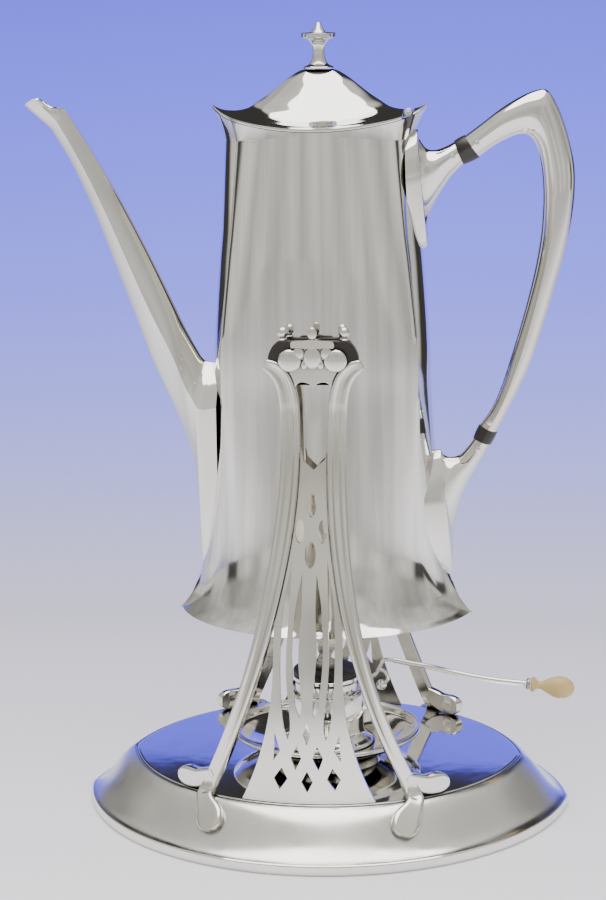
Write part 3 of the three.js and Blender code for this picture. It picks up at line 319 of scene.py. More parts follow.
def columns(x, y, z):
    """Points from their X, Y and Z, where one number stands for a whole column."""
    return np.stack(np.broadcast_arrays(x, y, z), 1)


def circle(count):
    """Angles spread evenly round a circle."""
    return np.linspace(0, 2 * pi, count, endpoint=False)


def turned(profile, segments):
    """A turned shape about Z from [radius, height] rows. It closes on itself or on the axis."""
    angles = circle(segments)
    rings = []
    for radius, height in profile:
        radius = max(radius, 1e-4)
        rings.append(columns(radius * np.cos(angles), radius * np.sin(angles), height))
    closed = tuple(profile[0]) == tuple(profile[-1])
    return skin(rings[:-1] if closed else rings, looped=closed)


def plate(outline, near, far):
    """A flat plate along Y from an outline in X and Z."""
    x, z = np.transpose(outline)
    return skin([columns(x, -near, z), columns(x, -far, z)])


def tube(path, radius, sides=20):
    """A round tube along points that lie in X and Z."""
    path = np.asarray(path, float)
    tangents = np.gradient(path, axis=0)
    tangents /= np.linalg.norm(tangents, axis=1)[:, None]
    side = np.cross(tangents[0], (0, 1, 0))
    rings = []
    angles = circle(sides)
    for centre, tangent in zip(path, tangents):
        side = unit(side - tangent * np.dot(side, tangent))
        other = np.cross(tangent, side)
        rings.append(centre + radius * (np.cos(angles)[:, None] * side + np.sin(angles)[:, None] * other))
    return skin(rings)


def ball(centre, radius):
    steps = 14
    slopes = [pi * i / steps for i in range(steps + 1)]
    profile = [(radius * sin(slope), -radius * cos(slope)) for slope in slopes]
    return moved(turned(profile, 2 * steps), centre)


def rounded(piece, width):
    edge = piece.modifiers.new("soft_edges", "BEVEL")
    edge.width = width * MM
    edge.segments = 2
    edge.limit_method = "ANGLE"
    edge.angle_limit = radians(35)


# The pointed oval


class Lens:
    """Two equal arcs that meet in points at both ends of the set."""

    def __init__(self, half_length, half_depth):
        self.half_length, self.half_depth = half_length, half_depth
        self.radius = (half_length**2 + half_depth**2) / (2 * half_depth)
        self.middle = self.radius - half_depth

    def depth_at(self, x):
        return sqrt(max(self.radius**2 - x**2, 0)) - self.middle

    def inset(self, distance):
        radius = self.radius - distance
        return Lens(sqrt(radius**2 - self.middle**2), self.half_depth - distance)

    def ring(self, z, steps=72):
        start = asin(self.middle / self.radius)
        angles = np.linspace(start, pi - start, steps, endpoint=False)
        half = columns(self.radius * np.cos(angles), self.radius * np.sin(angles) - self.middle, z)
        return np.vstack([half, half * (-1, -1, 1)])


rim_lens = Lens(base_length / 2, base_depth / 2)
platform_lens = Lens(platform_length / 2, platform_depth / 2)
slope_foot = rim_lens.inset(rim_step)


def slope_height(t):
    """Height of the base from the platform's edge, t = 0, to the rim, t = 1: a soft S with a steady fall."""
    curve = (1 - cos(pi * t)) / 2
    return lerp(platform_height, rim_height, 0.3 * t + 0.7 * curve)


def slope_lens(t):
    top, foot = platform_lens, slope_foot
    return Lens(lerp(top.half_length, foot.half_length, t), lerp(top.half_depth, foot.half_depth, t))


def add_base():
    inner = rim_lens.inset(rim_width)
    band = [(0.5, 0), (0.1, 0.3), (0, 0.8)]
    band += [(0, rim_height - 1.1), (0.2, rim_height - 0.4), (0.7, rim_height - 0.05)]
    rings = [rim_lens.inset(distance).ring(z) for distance, z in band]
    rings += [inner.ring(rim_height - 0.05), inner.ring(0)]
    fine("base_foot_rim", skin(rings, looped=True), "stand", sharp=30)
    lip = [(1.2, 0), (0.5, 0.0), (0.12, -0.15), (0, -0.5), (0.1, -0.85)]
    top = [platform_lens.inset(distance).ring(platform_height + z) for distance, z in lip]
    slope = [slope_lens(t).ring(slope_height(t)) for t in np.linspace(0.05, 1, 40)]
    ceiling = platform_height - tray_wall
    below = [t for t in np.linspace(1, 0, 30) if slope_height(t) < ceiling]
    under = [slope_lens(t).inset(slope_wall).ring(slope_height(t)) for t in below]
    rings = top + slope + under + [platform_lens.inset(slope_wall).ring(ceiling)]
    tray = fine("base_tray", skin(rings), "stand", mirror_silver, sharp=50)
    tray.data.materials.append(satin_silver)
    level = 0.97
    for face in tray.data.polygons:
        if abs(face.normal.z) < level:
            face.material_index = 1


# The frames

# Powers of the curves that spread a frame in depth, and its legs and panel in width.
frame_sweep = 1.38
leg_sweep = 1.95
panel_sweep = 2.1


def frame_depth(x, z):
    """How far the middle of a frame stands from the middle of the set."""
    rise = clamp((z - platform_height) / (frame_straight_height - platform_height), 0, 1)
    swing = (1 + cos(pi * rise**frame_sweep)) / 2
    bow = platform_lens.half_depth - platform_lens.depth_at(x)
    return lerp(frame_top_depth, frame_foot_depth, swing) - bow * swing


def leg_x(z):
    drop = clamp((leg_neck_height - z) / (leg_neck_height - platform_height), 0, 1)
    return lerp(leg_neck_x, leg_foot_x, drop**leg_sweep)


def leg_width(z):
    return lerp(leg_ankle_width, leg_neck_width, clamp((z - 80) / 60, 0, 1))


def leg_inner_x(z):
    slope = leg_x(z - 0.5) - leg_x(z + 0.5)
    return leg_x(z) - leg_width(z) / 2 * hypot(1, slope)


def frame_station(x, z, width, flute):
    """A leg's middle, the way its face looks, its width and its channel, on the frame's sheet."""
    step = 0.5
    across = (frame_depth(x + step, z) - frame_depth(x - step, z)) / (2 * step)
    up = (frame_depth(x, z + step) - frame_depth(x, z - step)) / (2 * step)
    return [x, -frame_depth(x, z), z, *unit([-across, -1, -up]), width, flute]


def slope_station(x, t, width):
    """The same for a foot that lies on the slope of the base."""

    def depth(px, pt):
        return slope_lens(pt).depth_at(px)

    step = 0.02
    across = depth(x + 1, t) - depth(x - 1, t)
    run = (depth(x, t + step) - depth(x, t - step)) / (2 * step)
    fall = (slope_height(t + step) - slope_height(t - step)) / (2 * step)
    normal = unit([across / 2 * fall, fall, run])
    middle = np.array([x, -depth(x, t), slope_height(t)]) + normal * (leg_thickness / 4)
    return [*middle, *normal, width, 0]


def leg_section(flute):
    """Outline of a leg, as shares of its width and thickness, with a channel as deep as flute."""
    face = [(0.5, 0.12), (0.49, 0.28), (0.45, 0.4), (0.38, 0.47)]
    crest, channel_width, channel_floor = 0.48, 0.62, 1.6
    channel = []
    for x in np.linspace(0.3, -0.3, 13):
        hollow = min(1, channel_floor * cos(pi * x / channel_width) ** 2)
        channel.append((x, crest - flute * hollow))
    mirrored_face = [(-x, v) for x, v in reversed(face)]
    back = [(-0.5, -0.4), (-0.45, -0.5), (0.45, -0.5), (0.5, -0.4)]
    return face + channel + mirrored_face + back


def sweep(stations, count):
    """Rings of the leg's section along its stations."""
    rows = smooth(stations, count)
    ahead = np.gradient(rows[:, :3], axis=0)
    rings = []
    for row, way in zip(rows, ahead):
        middle, normal, width, flute = row[:3], row[3:6], *row[6:]
        across = unit(np.cross(way, normal))
        section = leg_section(flute)
        rings.append([middle + across * u * width + normal * v * leg_thickness for u, v in section])
    return rings


def leg_parts():
    """One leg, from its horn beside the bearing down to a lobe on the slope, and a toe on the platform."""
    # Each row: X, height from the pivot, width and channel.
    horn = [
        (21.4, -3.4, 2.4, 0), (20.9, -3.6, 4.4, 0), (19.5, -4, 6, 0.02), (16.6, -5.7, 7.2, 0.12),
        (13.9, -8.8, 7.9, 0.22), (12, -13.2, 8.2, 0.24), (10.9, -19, 8.4, 0.24),
        (10.4, -27, leg_neck_width, 0.24),
    ]
    stations = [frame_station(x, pivot + rise, width, flute) for x, rise, width, flute in horn]
    end = platform_height + 7
    steps = 10
    for i in range(steps):
        down = i / (steps - 1)
        z = lerp(leg_neck_height, end, down)
        stations.append(frame_station(leg_x(z), z, leg_width(z), 0.22 * (1 - down**4)))
    # Each row: X from the foot's middle, share of the way down the slope, and width.
    lobe = [
        (-0.7, 0.06, 7.4), (-0.9, 0.16, 7.6), (-1.9, 0.26, foot_lobe - 0.2), (-3.6, 0.37, foot_lobe + 2.6),
        (-4.2, 0.47, foot_lobe + 2.8), (-4.1, 0.55, foot_lobe + 0.4), (-4, 0.6, foot_lobe / 1.6),
        (-4, 0.615, 0.8),
    ]
    stations += [slope_station(leg_foot_x + x, t, width) for x, t, width in lobe]
    shaft = sweep(stations, 190)
    middle = platform_height + gap + foot_lobe / 2
    # Each row: X and Z from the foot's middle, and width.
    toe_rows = [
        (-4.4, 5, 4), (-0.4, 2.4, 7), (3.4, 0.5, foot_lobe - 1), (7.4, 0, foot_lobe),
        (10.2, 0, foot_lobe - 0.8), (12, 0, foot_lobe / 1.7), (12.5, 0, 0.6),
    ]
    toe = sweep([frame_station(leg_foot_x + x, middle + z, width, 0) for x, z, width in toe_rows], 40)
    return merged(skin(shaft), skin(toe))


def add_legs():
    right = leg_parts()
    for face, y in frame_sides:
        for side, x in (("right", 1), ("left", -1)):
            fine(f"leg_{face}_{side}", flipped(right, x, y), "stand", silver_frame, sharp=45)


def diamond(x, z, half_width, half_height, lean=0):
    sides = [(x - half_width, z), (x + lean, z - half_height)]
    return sides + [(x + half_width, z), (x - lean, z + half_height)]


def oval(x, z, half_width, half_height):
    return [(x + half_width * cos(a), z + half_height * sin(a)) for a in circle(24)]


def slot_outline(*rows):
    """A long slot from rows of x, z and half width."""
    line = smooth(rows, 30)
    right = [(x + w, z) for x, z, w in line]
    left = [(x - w, z) for x, z, w in reversed(line)]
    return right + left[1:-1]


def panel_half_width(z):
    share = clamp((85 - z) / (85 - platform_height), 0, 1)
    return min(lerp(14.9, 29.2, share**panel_sweep), leg_inner_x(z) - gap)


def panel_holes():
    middle = [
        diamond(0, 34, 2.5, 4.8),
        diamond(0, 55, 1.7, 4.8),
        oval(0, 129, 2.4, 5.4),
        oval(0, 149, 1.9, 4.8),
    ]
    side = [
        diamond(11.5, 35.2, 3, 5, 0.5),
        diamond(4.7, 44.5, 2.3, 5.4, 0.3),
        [(14.6, 43), (14, 55.4), (11.6, 47.6)],
        slot_outline((3.1, 62.2, 0.05), (3.7, 68, 1.4), (5.3, 88, 1.4), (4.4, 106, 1.4), (3.1, 121.5, 0.05)),
        slot_outline((8.2, 52.4, 0.05), (8.8, 60, 1.6), (10.5, 82, 1.3), (9.7, 107, 1.3), (7.5, 127, 0.05)),
        oval(4.9, 138.5, 1.9, 4.8),
    ]
    return middle + side + [[(-x, z) for x, z in outline] for outline in side]


def inside(outline, points):
    """Which points lie inside a closed outline."""
    outline = np.asarray(outline)
    x, z = points[:, 0], points[:, 1]
    result = np.zeros(len(points), bool)
    for (x0, z0), (x1, z1) in zip(outline, np.roll(outline, -1, 0)):
        crosses = (z0 > z) != (z1 > z)
        with np.errstate(divide="ignore", invalid="ignore"):
            at = (x1 - x0) * (z - z0) / (z1 - z0) + x0
        result ^= crosses & (x < at)
    return result


def panel_outline(bottom, top):
    """The panel's edge: both sides, a notch at the top and a straight foot."""
    right = [(panel_half_width(z), z) for z in np.linspace(bottom, top, 60)]
    left = [(-x, z) for x, z in reversed(right)]
    across = np.linspace(right[-1][0], left[0][0], 17)
    notch = [(x, top + 1 - 8.4 * (1 - abs(x) / leg_neck_x)) for x in across]
    foot = [(x, bottom) for x in np.linspace(left[-1][0], right[0][0], 25)]
    return right + notch[1:-1] + left + foot[1:-1]


def panel_part():
    """The pierced panel: a flat mesh around the holes, bent to the frame's sheet and given thickness."""
    bottom = platform_height + gap
    top = pivot - 41.5
    outline = panel_outline(bottom, top)
    holes = panel_holes()
    points, loops = [], []
    for loop in [outline, *holes]:
        loops.append(list(range(len(points), len(points) + len(loop))))
        points += map(Vector, loop)
    heights, places = np.arange(bottom + 1.5, top, 2.5), np.arange(-28.7, 29, 2.6)
    grid = np.array([(x, z) for z in heights for x in places])

    def in_metal(spots):
        result = inside(outline, spots)
        for hole in holes:
            result &= ~inside(hole, spots)
        return result

    points += map(Vector, grid[in_metal(grid)])
    edges = [(a, b) for loop in loops for a, b in zip(loop, loop[1:] + loop[:1])]
    flat, _, triangles, *_ = delaunay_2d_cdt(points, edges, [], 0, 1e-5)
    flat = np.array([tuple(p) for p in flat])
    middles = np.array([flat[list(t)].mean(0) for t in triangles])
    triangles = [tuple(t) for t, metal in zip(triangles, in_metal(middles)) if metal]
    half = panel_thickness / 2
    front = [(x, -frame_depth(x, z) - half, z) for x, z in flat]
    back = [(x, -frame_depth(x, z) + half, z) for x, z in flat]
    count = len(flat)
    faces = triangles + [tuple(i + count for i in reversed(t)) for t in triangles]
    sides = dict.fromkeys((a, b) for t in triangles for a, b in zip(t, t[1:] + t[:1]))
    faces += [(b, a, a + count, b + count) for a, b in sides if (b, a) not in sides]
    return front + back, faces


def add_panels():
    part = panel_part()
    for face, y in frame_sides:
        fine(f"pierced_panel_{face}", flipped(part, 1, y), "stand", silver_frame, sharp=30)


def at_pivot(outline):
    return [(x, pivot + z) for x, z in outline]


def about_pivot(half):
    """A closed outline at the pivot from its right half. Points on the middle line aren't repeated."""
    return at_pivot(half + [(-x, z) for x, z in reversed(half) if x != 0])


def yoke_part():
    """The apron in front of the block, and the web below it with two arches."""
    arches = smooth([(0, -13), (1.8, -11.6), (4.6, -10.9), (6.6, -11.5), (7.9, -13.2)], 17)
    apron = [*arches, (8.4, -10.6), (9.4, -8.2), (11.6, -4.4), (13.3, -2.4), (12.6, -2.2), (0, -2.2)]
    web = [*arches, (7.9, -9.4), (0, -9.4)]
    front = plate(about_pivot(apron), bearing_outer + gap, frame_face - 0.25)
    return merged(front, plate(about_pivot(web), frame_top_depth - leg_thickness / 3, bearing_outer + gap))


def bearing_part():
    rim = smooth([(19.6, -1.6), (19.7, 0), (18.6, 3), (17, 5.3), (14.9, 6.9)], 16)
    half = [(9.2, -9.1), (14.4, -5.2), (18.4, -2.6), *rim, (0, 6.9)]
    return plate(about_pivot(half), bearing_inner, bearing_outer)


rosette_face = frame_face + gap + 0.4


def pad(x, z, half_width, half_height, rise):
    """A puffed oval on the face of the rosette."""
    z += pivot
    angles = circle(36)
    rings = []
    for share in np.sin(np.linspace(pi / 2, 0.04, 9)):
        wide, high = half_width * share * np.cos(angles), half_height * share * np.sin(angles)
        rings.append(columns(x + wide, -rosette_face - rise * (1 - share**2) ** 0.5, z + high))
    back = rings[0] * (1, 0, 1) + (0, 0.8 - rosette_face, 0)
    return skin([back, *rings])


def rosette_part():
    """A bar over two lobes, with a bud above, and a middle petal between smaller ones."""
    back = rosette_face - 0.4
    upper = [(-9.2, 4.3), (-8.9, 7), (-4, 7.4), (0, 7.9), (4, 7.4), (8.9, 7), (9.2, 4.3)]
    lower = [(5, 4.2), (0, 3.8), (-5, 4.2), (-9.2, 4.3)]
    parts = [plate(at_pivot(smooth(upper + lower, 50)[:-1]), back, rosette_face + 1.1)]
    parts.append(plate(at_pivot([(-8, -1), (8, -1), (8, 4.6), (-8, 4.6)]), back, rosette_face))
    parts.append(pad(0, 0.1, 4, 4.9, 1.6))
    for side in (-1, 1):
        parts.append(pad(side * 9.9, -1.3, 5.1, 4.9, 1.8))
        parts.append(pad(side * 6, 2, 2.6, 3, 1.3))
        parts.append(pad(side * 3.6, -3, 1.4, 2, 0.9))
    bud, faces = ball((0, 0, 0), 1)
    parts.append((bud * (2.1, 1.1, 2.9) + (0, -rosette_face, pivot + 10.3), faces))
    return merged(*parts)


def pin_part(side):
    """A ball on a stem that stands on the bearing block."""
    radius, height = 2.5, 10.4
    profile = [(0, 0), (1, 0), (1, 7.2), (1.9, 7.2), (2, 7.5), (1.7, 7.9), (1.3, 8.1)]
    for angle in np.radians(np.linspace(-62, 90, 16)):
        profile.append((radius * cos(angle), height + radius * sin(angle)))
    return moved(turned(profile, 32), (side * 13.4, -(bearing_inner + bearing_outer) / 2, pivot))


def add_bearings():
    for face, y in frame_sides:
        rounded(fine(f"bearing_yoke_{face}", flipped(yoke_part(), 1, y), "stand", silver_frame), 0.35)
        rounded(fine(f"ebony_bearing_{face}", flipped(bearing_part(), 1, y), "stand", ebony), 0.5)
        fine(f"rosette_{face}", flipped(rosette_part(), 1, y), "stand", silver_frame, sharp=50)
        for name, side in (("left", -1), ("right", 1)):
            fine(f"ball_pin_{face}_{name}", flipped(pin_part(side), 1, y), "stand")


# The kettle's body and lid

# Each row: share of the height, share of the foot's size, share of the neck's, bulge and crease.
body_rows = [
    (0, 1, 0, 1.2, 0.8), (0.016, 0.82, 0, 3.5, 4.5), (0.044, 0.62, 0, 6.5, 9), (0.1, 0.39, 0, 8.5, 12),
    (0.173, 0.25, 0, 9, 13.3), (0.325, 0.1, 0, 6.9, 14), (0.465, 0, 0, 5, 14), (0.571, 0, 0.08, 5, 14),
    (0.732, 0, 0.44, 6, 14), (0.8115, 0, 0.67, 6.3, 14), (0.919, 0, 0.86, 7.2, 14), (1, 0, 1, 7.7, 14),
]


def body_plans(count):
    """Rows of height and the numbers of a plan, from the kettle's foot to its shoulder."""
    rows = []
    for at, foot, neck, bulge, crease in body_rows:
        half_width = lerp(lerp(waist_x, foot_x, foot), neck_x, neck)
        half_depth = lerp(lerp(waist_y, foot_y, foot), neck_y, neck)
        roundness = 1.1 if at < 0.1 else 1.7
        height = lerp(foot_height, shoulder_height, at)
        rows.append((height, half_width, half_depth, half_width - bulge, crease, roundness))
    return smooth(rows, count)


def plan_ring(half_width, half_depth, crease_x, crease_y, roundness, height_at, arc=44, strip=12):
    """A long oval in plan: an arc along each side up to a crease, then a pointed end."""
    quarter = []
    for i in range(strip):
        share = i / strip
        quarter.append((crease_x + (half_width - crease_x) * (1 - share**roundness), crease_y * share))
    sagitta = half_depth - crease_y
    radius = (crease_x**2 + sagitta**2) / (2 * sagitta)
    reach = asin(min(crease_x / radius, 1))
    for i in range(arc // 2):
        angle = lerp(reach, 0, i / (arc / 2))
        quarter.append((radius * sin(angle), half_depth - radius * (1 - cos(angle))))
    half = quarter + [(0, half_depth)] + [(-x, y) for x, y in reversed(quarter[1:])]
    points = half + [(-x, -y) for x, y in half]
    return np.array([(x, y, height_at(x)) for x, y in points])


rim_lens_plan = Lens(rim_half_length, neck_y)
rim_crease = rim_half_length * 0.81
rim_plan = (rim_half_length, neck_y, rim_crease, rim_lens_plan.depth_at(rim_crease), 1.1)


def rim_height_at(x):
    """Height of the kettle's rim, which rises towards both tips."""
    share = min(abs(x) / rim_half_length, 1.05)
    return rim_middle_height + rim_tip_rise * (0.7 * share**2 + 0.3 * share**10)


def grown(plan, distance):
    """A plan a little larger, or smaller for a distance below zero."""
    half_width, half_depth, crease_x, crease_y, roundness = plan
    crease_y = max(crease_y + distance * 0.6, 0.3)
    return half_width + distance, half_depth + distance, crease_x + distance, crease_y, roundness


def body_rings(distance):
    """Rings from foot to rim of the kettle's skin, or of a skin at a distance from it."""
    rows = body_plans(90)
    rings = [plan_ring(*grown(row[1:], distance), lambda x, z=row[0]: z) for row in rows[:-1]]
    shoulder = plan_ring(*grown(rows[-1][1:], distance), lambda x: shoulder_height - 3 * (x / 34) ** 2)
    rim = plan_ring(*grown(rim_plan, distance), rim_height_at)
    for share in np.linspace(0, 1, 14):
        ring = lerp(shoulder, rim, share**1.7)
        ring[:, 2] = lerp(shoulder[:, 2], rim[:, 2], share)
        rings.append(ring)
    return rings


# Each row: share of the way from the lid's middle to its edge, and share of the crown's height there.
crown_rows = [(0, 1), (0.08, 1), (0.14, 0.995), (0.2, 0.945), (0.29, 0.82), (0.38, 0.665), (0.47, 0.51)]
crown_rows += [(0.565, 0.36), (0.65, 0.225), (0.745, 0.135), (0.84, 0.075), (0.92, 0.03), (1, 0)]
crown_curve = smooth(crown_rows, 200)


def lid_ring(share, offset):
    ring = plan_ring(*rim_plan, lambda x: 0)
    ring *= share
    crown = lid_crown * np.interp(share, crown_curve[:, 0], crown_curve[:, 1])
    ring[:, 2] = [rim_height_at(x) + gap + crown + offset for x in ring[:, 0]]
    return ring


def cut_off(part, x, way):
    """Cuts away what lies past an X plane, or before it where way is -1, and fills the cut."""
    shape = bmesh.new()
    points, faces = part
    verts = [shape.verts.new(p) for p in points]
    for face in faces:
        shape.faces.new([verts[i] for i in face])
    bmesh.ops.remove_doubles(shape, verts=shape.verts, dist=1e-4)
    whole = shape.verts[:] + shape.edges[:] + shape.faces[:]
    plane = {"plane_co": (x, 0, 0), "plane_no": (way, 0, 0)}
    cut = bmesh.ops.bisect_plane(shape, geom=whole, clear_outer=True, **plane)
    edges = [e for e in cut["geom_cut"] if isinstance(e, bmesh.types.BMEdge)]
    bmesh.ops.edgeloop_fill(shape, edges=edges)
    shape.verts.index_update()
    points = np.array([v.co[:] for v in shape.verts])
    faces = [tuple(v.index for v in f.verts) for f in shape.faces]
    shape.free()
    return points, faces


def bar(radius, low, high, x, z):
    """A round bar along Y with its edges eased."""
    angles, ease = circle(32), 0.15
    stretch = ((low, radius - ease), (low + ease, radius), (high - ease, radius), (high, radius - ease))
    return skin([columns(x + reach * np.cos(angles), y, z + reach * np.sin(angles)) for y, reach in stretch])


def add_body():
    rings = body_rings(0) + body_rings(-body_wall)[::-1]
    fine("kettle_body", skin(rings, looped=True), "kettle", body_silver, sharp=24)
    bottom = plan_ring(59.5, 40.5, 54, 9.2, 1.1, lambda x: foot_height + 9.4)
    dished = plan_ring(56, 37.5, 50.5, 8.6, 1.1, lambda x: foot_height + 10.4)
    fine("kettle_bottom", skin([bottom, dished]), "kettle")
    for face, y in frame_sides:
        shaft = bar(4, -bearing_outer + gap, -26.6, 0, pivot)
        collar = bar(7, -bearing_inner + gap + 0.4, -26.4, 0, pivot)
        trunnion = flipped(merged(shaft, collar), 1, y)
        fine(f"trunnion_{face}", trunnion, "kettle", dull_silver)


def hinge_leaf(from_x, to_x, low, high):
    z = hinge_height - 0.7
    ring = [(from_x, low), (to_x, low), (to_x, high), (from_x, high)]
    return skin([[(x, y, z - 0.8) for x, y in ring], [(x, y, z + 0.8) for x, y in ring]])


def add_lid():
    """The lid in front of the hinge, the tail behind it on the kettle, and the hinge between them."""
    shares = np.concatenate([[0.03], np.linspace(0.07, 0.97, 44), [0.99, 1]])
    upper = [lid_ring(share, lid_wall) for share in shares]
    lower = [lid_ring(share, 0) for share in shares]
    edge = [lid_ring(1.004, lid_wall * 0.7), lid_ring(1.004, lid_wall * 0.3)]
    full = skin(upper + edge + lower[::-1])
    lid_edge = hinge_x - hinge_radius - 2 * gap
    fine("lid", cut_off(full, lid_edge, 1), "lid", mirror_silver, sharp=40)
    barrel = bar(hinge_radius, -2.6, 2.6, hinge_x, hinge_height)
    leaf = hinge_leaf(lid_edge - 3, hinge_x, -2.6, 2.6)
    put("lid_knuckle", merged(barrel, leaf), "lid", [])
    tail_start = hinge_x + hinge_radius + 2 * gap
    tail = cut_off(full, tail_start, -1)
    leaves = []
    for low, high in ((-6.4, -2.9), (2.9, 6.4)):
        leaves.append(bar(hinge_radius, low, high, hinge_x, hinge_height))
        leaves.append(hinge_leaf(hinge_x, tail_start + 1, max(low, -4.6), min(high, 4.6)))
    fine("hinge_plate", merged(tail, *leaves), "kettle")
    fine("lid_hinge_pin", bar(0.7, -6.6, 6.6, hinge_x, hinge_height), "kettle")
    inner, outer, drop = 0.86, 0.92, -3.3
    corners = ((outer, -gap), (inner, -gap), (inner, drop), (outer, drop))
    bezel = skin([lid_ring(share, offset) for share, offset in corners], looped=True)
    fine("lid_bezel", cut_off(bezel, hinge_x - 8.5, 1), "lid")


def add_finial():
    foot = rim_middle_height + lid_crown + lid_wall + 2 * gap
    flare = [(6.6, 0), (6.65, 0.5), (6, 1.1), (4.4, 1.8), (3.3, 3.4), (2.75, 5.4), (2.6, 7.2)]
    flare += [(2.8, 9.2), (3.6, 11), (5, 12.4), (6.3, 13)]
    disc = [(7.2, 13.2), (7.55, 13.5), (7.6, 14), (7.6, 14.8), (7.5, 15.2), (7.1, 15.45), (3.2, 15.6)]
    cone = [(3.1, 15.7), (2.4, 16.9), (1.4, 18.6), (0.6, 19.8), (0, 20.1)]
    profile = [(0, -5), (1.5, -5), (1.5, 0), *smooth(flare, 60), *disc, *cone]
    fine("finial", moved(turned(profile, 64), (0, 0, foot)), "lid", sharp=32)
    under = rim_middle_height + lid_crown - 1.1
    nut = turned([(1.8, -2), (3.6, -2), (3.6, -gap), (1.8, -gap), (1.8, -2)], 6)
    fine("finial_nut", moved(nut, (0, 0, under)), "lid")


# The spout, its beak and the handle. Spout, sockets and grip share one kind of ring.


def ridge_ring(upper, lower, share, half_width, soft=False, steps=16):
    """A ring with a ridge on both sides, at a share of the way down. A soft one is rounder above it."""
    upper = np.array([upper[0], 0, upper[1]], float)
    lower = np.array([lower[0], 0, lower[1]], float)
    side = []
    for i in range(1, steps):
        t = (i / steps) ** (2 if soft else 1.6)
        side.append((share * t, sqrt(1 - (1 - t) ** 2) if soft else t**0.7))
    side.append((share, 1))
    for i in range(1, steps):
        t = 1 - (1 - i / steps) ** 1.6
        side.append((share + (1 - share) * t, (1 - t) ** (0.55 if soft else 0.62)))
    right = [lerp(upper, lower, down) + (0, half_width * out, 0) for down, out in side]
    left = [lerp(upper, lower, down) - (0, half_width * out, 0) for down, out in reversed(side)]
    return np.array([upper, *right, lower, *left])


def ridge_rings(stations, count, side=1, soft=False):
    """Rings along stations that are measured from the kettle's waist and the pivot."""
    rings = []
    for ax, az, bx, bz, share, width in smooth(stations, count):
        upper, lower = (side * (waist_x + ax), pivot + az), (side * (waist_x + bx), pivot + bz)
        rings.append(ridge_ring(upper, lower, share, width, soft))
    return rings


# Each station: X and Z of its upper and its lower point, share of the way down to the ridge, half width.
spout_stations = [
    (-3, -8, -1, -104, 0.19, 14), (1, -7.9, 4.5, -104, 0.2, 14.2), (4.6, -6.8, 7.4, -98, 0.22, 14),
    (8.2, -1.1, 7.9, -74, 0.3, 13), (13.4, 8.9, 9.5, -57, 0.38, 12), (18, 19, 15.8, -35, 0.42, 10.8),
    (26.8, 37.5, 28, -7.1, 0.46, 9.3), (35.5, 55, 36.5, 16.1, 0.48, 8.2),
    (44.3, 71.7, 45.4, 40.2, 0.48, 7.2), (53, 86.5, 53.8, 62.2, 0.48, 6.4),
    (60, 97.8, 62.8, 82, 0.5, 5.8), (64, 104, 71.5, 97, 0.5, 5.2),
]
upper_socket_stations = [
    (-11, 94, -9, 42, 0.4, 12.5), (-6.2, 95.4, -2, 44.3, 0.4, 10.8), (-5.2, 91.6, -1.9, 50, 0.38, 9.8),
    (-2.1, 87.1, -0.8, 57.7, 0.38, 8.7), (1.9, 86.4, 2.2, 64.8, 0.4, 7.5),
    (6.5, 87.9, 8.7, 74.7, 0.44, 6.4), (10.2, 89.9, 14.2, 80.4, 0.5, 5.6),
]
grip_stations = [
    (14.8, 92.4, 20.9, 83.4, 0.5, 5.8), (22.5, 98.1, 27.4, 88, 0.5, 5.9),
    (30, 103.8, 32.5, 90.8, 0.5, 6.1), (38, 108.7, 37.5, 92.7, 0.55, 6.4),
    (45, 111.6, 41.5, 92.8, 0.58, 6.7), (50.4, 111.5, 44.3, 90.3, 0.6, 6.9),
    (55.2, 103.8, 46.4, 85, 0.6, 7), (59, 93.5, 47.9, 76.5, 0.62, 7), (61.9, 81.5, 48.6, 68, 0.62, 7),
    (62.6, 70.5, 48.5, 59.5, 0.62, 7), (61.6, 57.5, 47.8, 49.5, 0.62, 6.9),
    (59.2, 44.5, 46.2, 39, 0.62, 6.8), (55.5, 30.5, 43.9, 28, 0.6, 6.6), (49.5, 10, 40.4, 14, 0.58, 6.2),
    (44.5, -5.5, 36.4, 0, 0.56, 5.9), (38.4, -19.7, 31.2, -16.7, 0.54, 5.6),
    (33, -30.5, 26.7, -27.5, 0.52, 5.3), (28.8, -38.6, 21.6, -35.3, 0.5, 5.2),
]
lower_socket_stations = [
    (26, -44, 18.9, -41.4, 0.5, 5.1), (23.4, -48.9, 16.2, -45.2, 0.5, 5.3),
    (19.5, -55.6, 12.5, -49.1, 0.52, 5.9), (15, -64, 8.5, -50.3, 0.55, 6.7),
    (11.6, -74.5, 5.8, -49.5, 0.6, 7.7), (9.7, -85.5, 4.2, -47.9, 0.62, 8.7),
    (8.9, -103, 3.3, -46.9, 0.66, 9.8), (-1, -104, -4, -48, 0.66, 11.4),
]
# The beak's opening, as points out, up and across.
mouth_points = [
    (65, 105.6, 0), (67.8, 105.8, 3.4), (71.9, 106.4, 4.9), (77.3, 109.9, 3.8), (79.9, 109.2, 2.6),
    (81.8, 108, 1.6), (83, 107.1, 0),
]


def mouth_ring(count):
    line = smooth(mouth_points, count // 2 + 1)
    right = [(-(waist_x + x), max(w, 0), pivot + z) for x, z, w in line]
    left = [(x, -w, z) for x, w, z in reversed(right[1:-1])]
    return np.array(right + left)


def shrunk(ring, wall):
    """A ring drawn in by the thickness of a wall."""
    middle = ring.mean(0)
    offset = ring - middle
    length = np.linalg.norm(offset, axis=1)[:, None]
    return middle + offset * (1 - wall / np.maximum(length, wall * 1.2))


def add_spout():
    outer = ridge_rings(spout_stations, 110, side=-1)
    mouth = mouth_ring(len(outer[0]))
    outer += [lerp(outer[-1], mouth, share) for share in (0.35, 0.7, 1)]
    hollow_from, spout_wall = 45, 1
    rings = outer + [shrunk(ring, spout_wall) for ring in reversed(outer[hollow_from:])]
    fine("spout", skin(rings), "kettle", sharp=26)


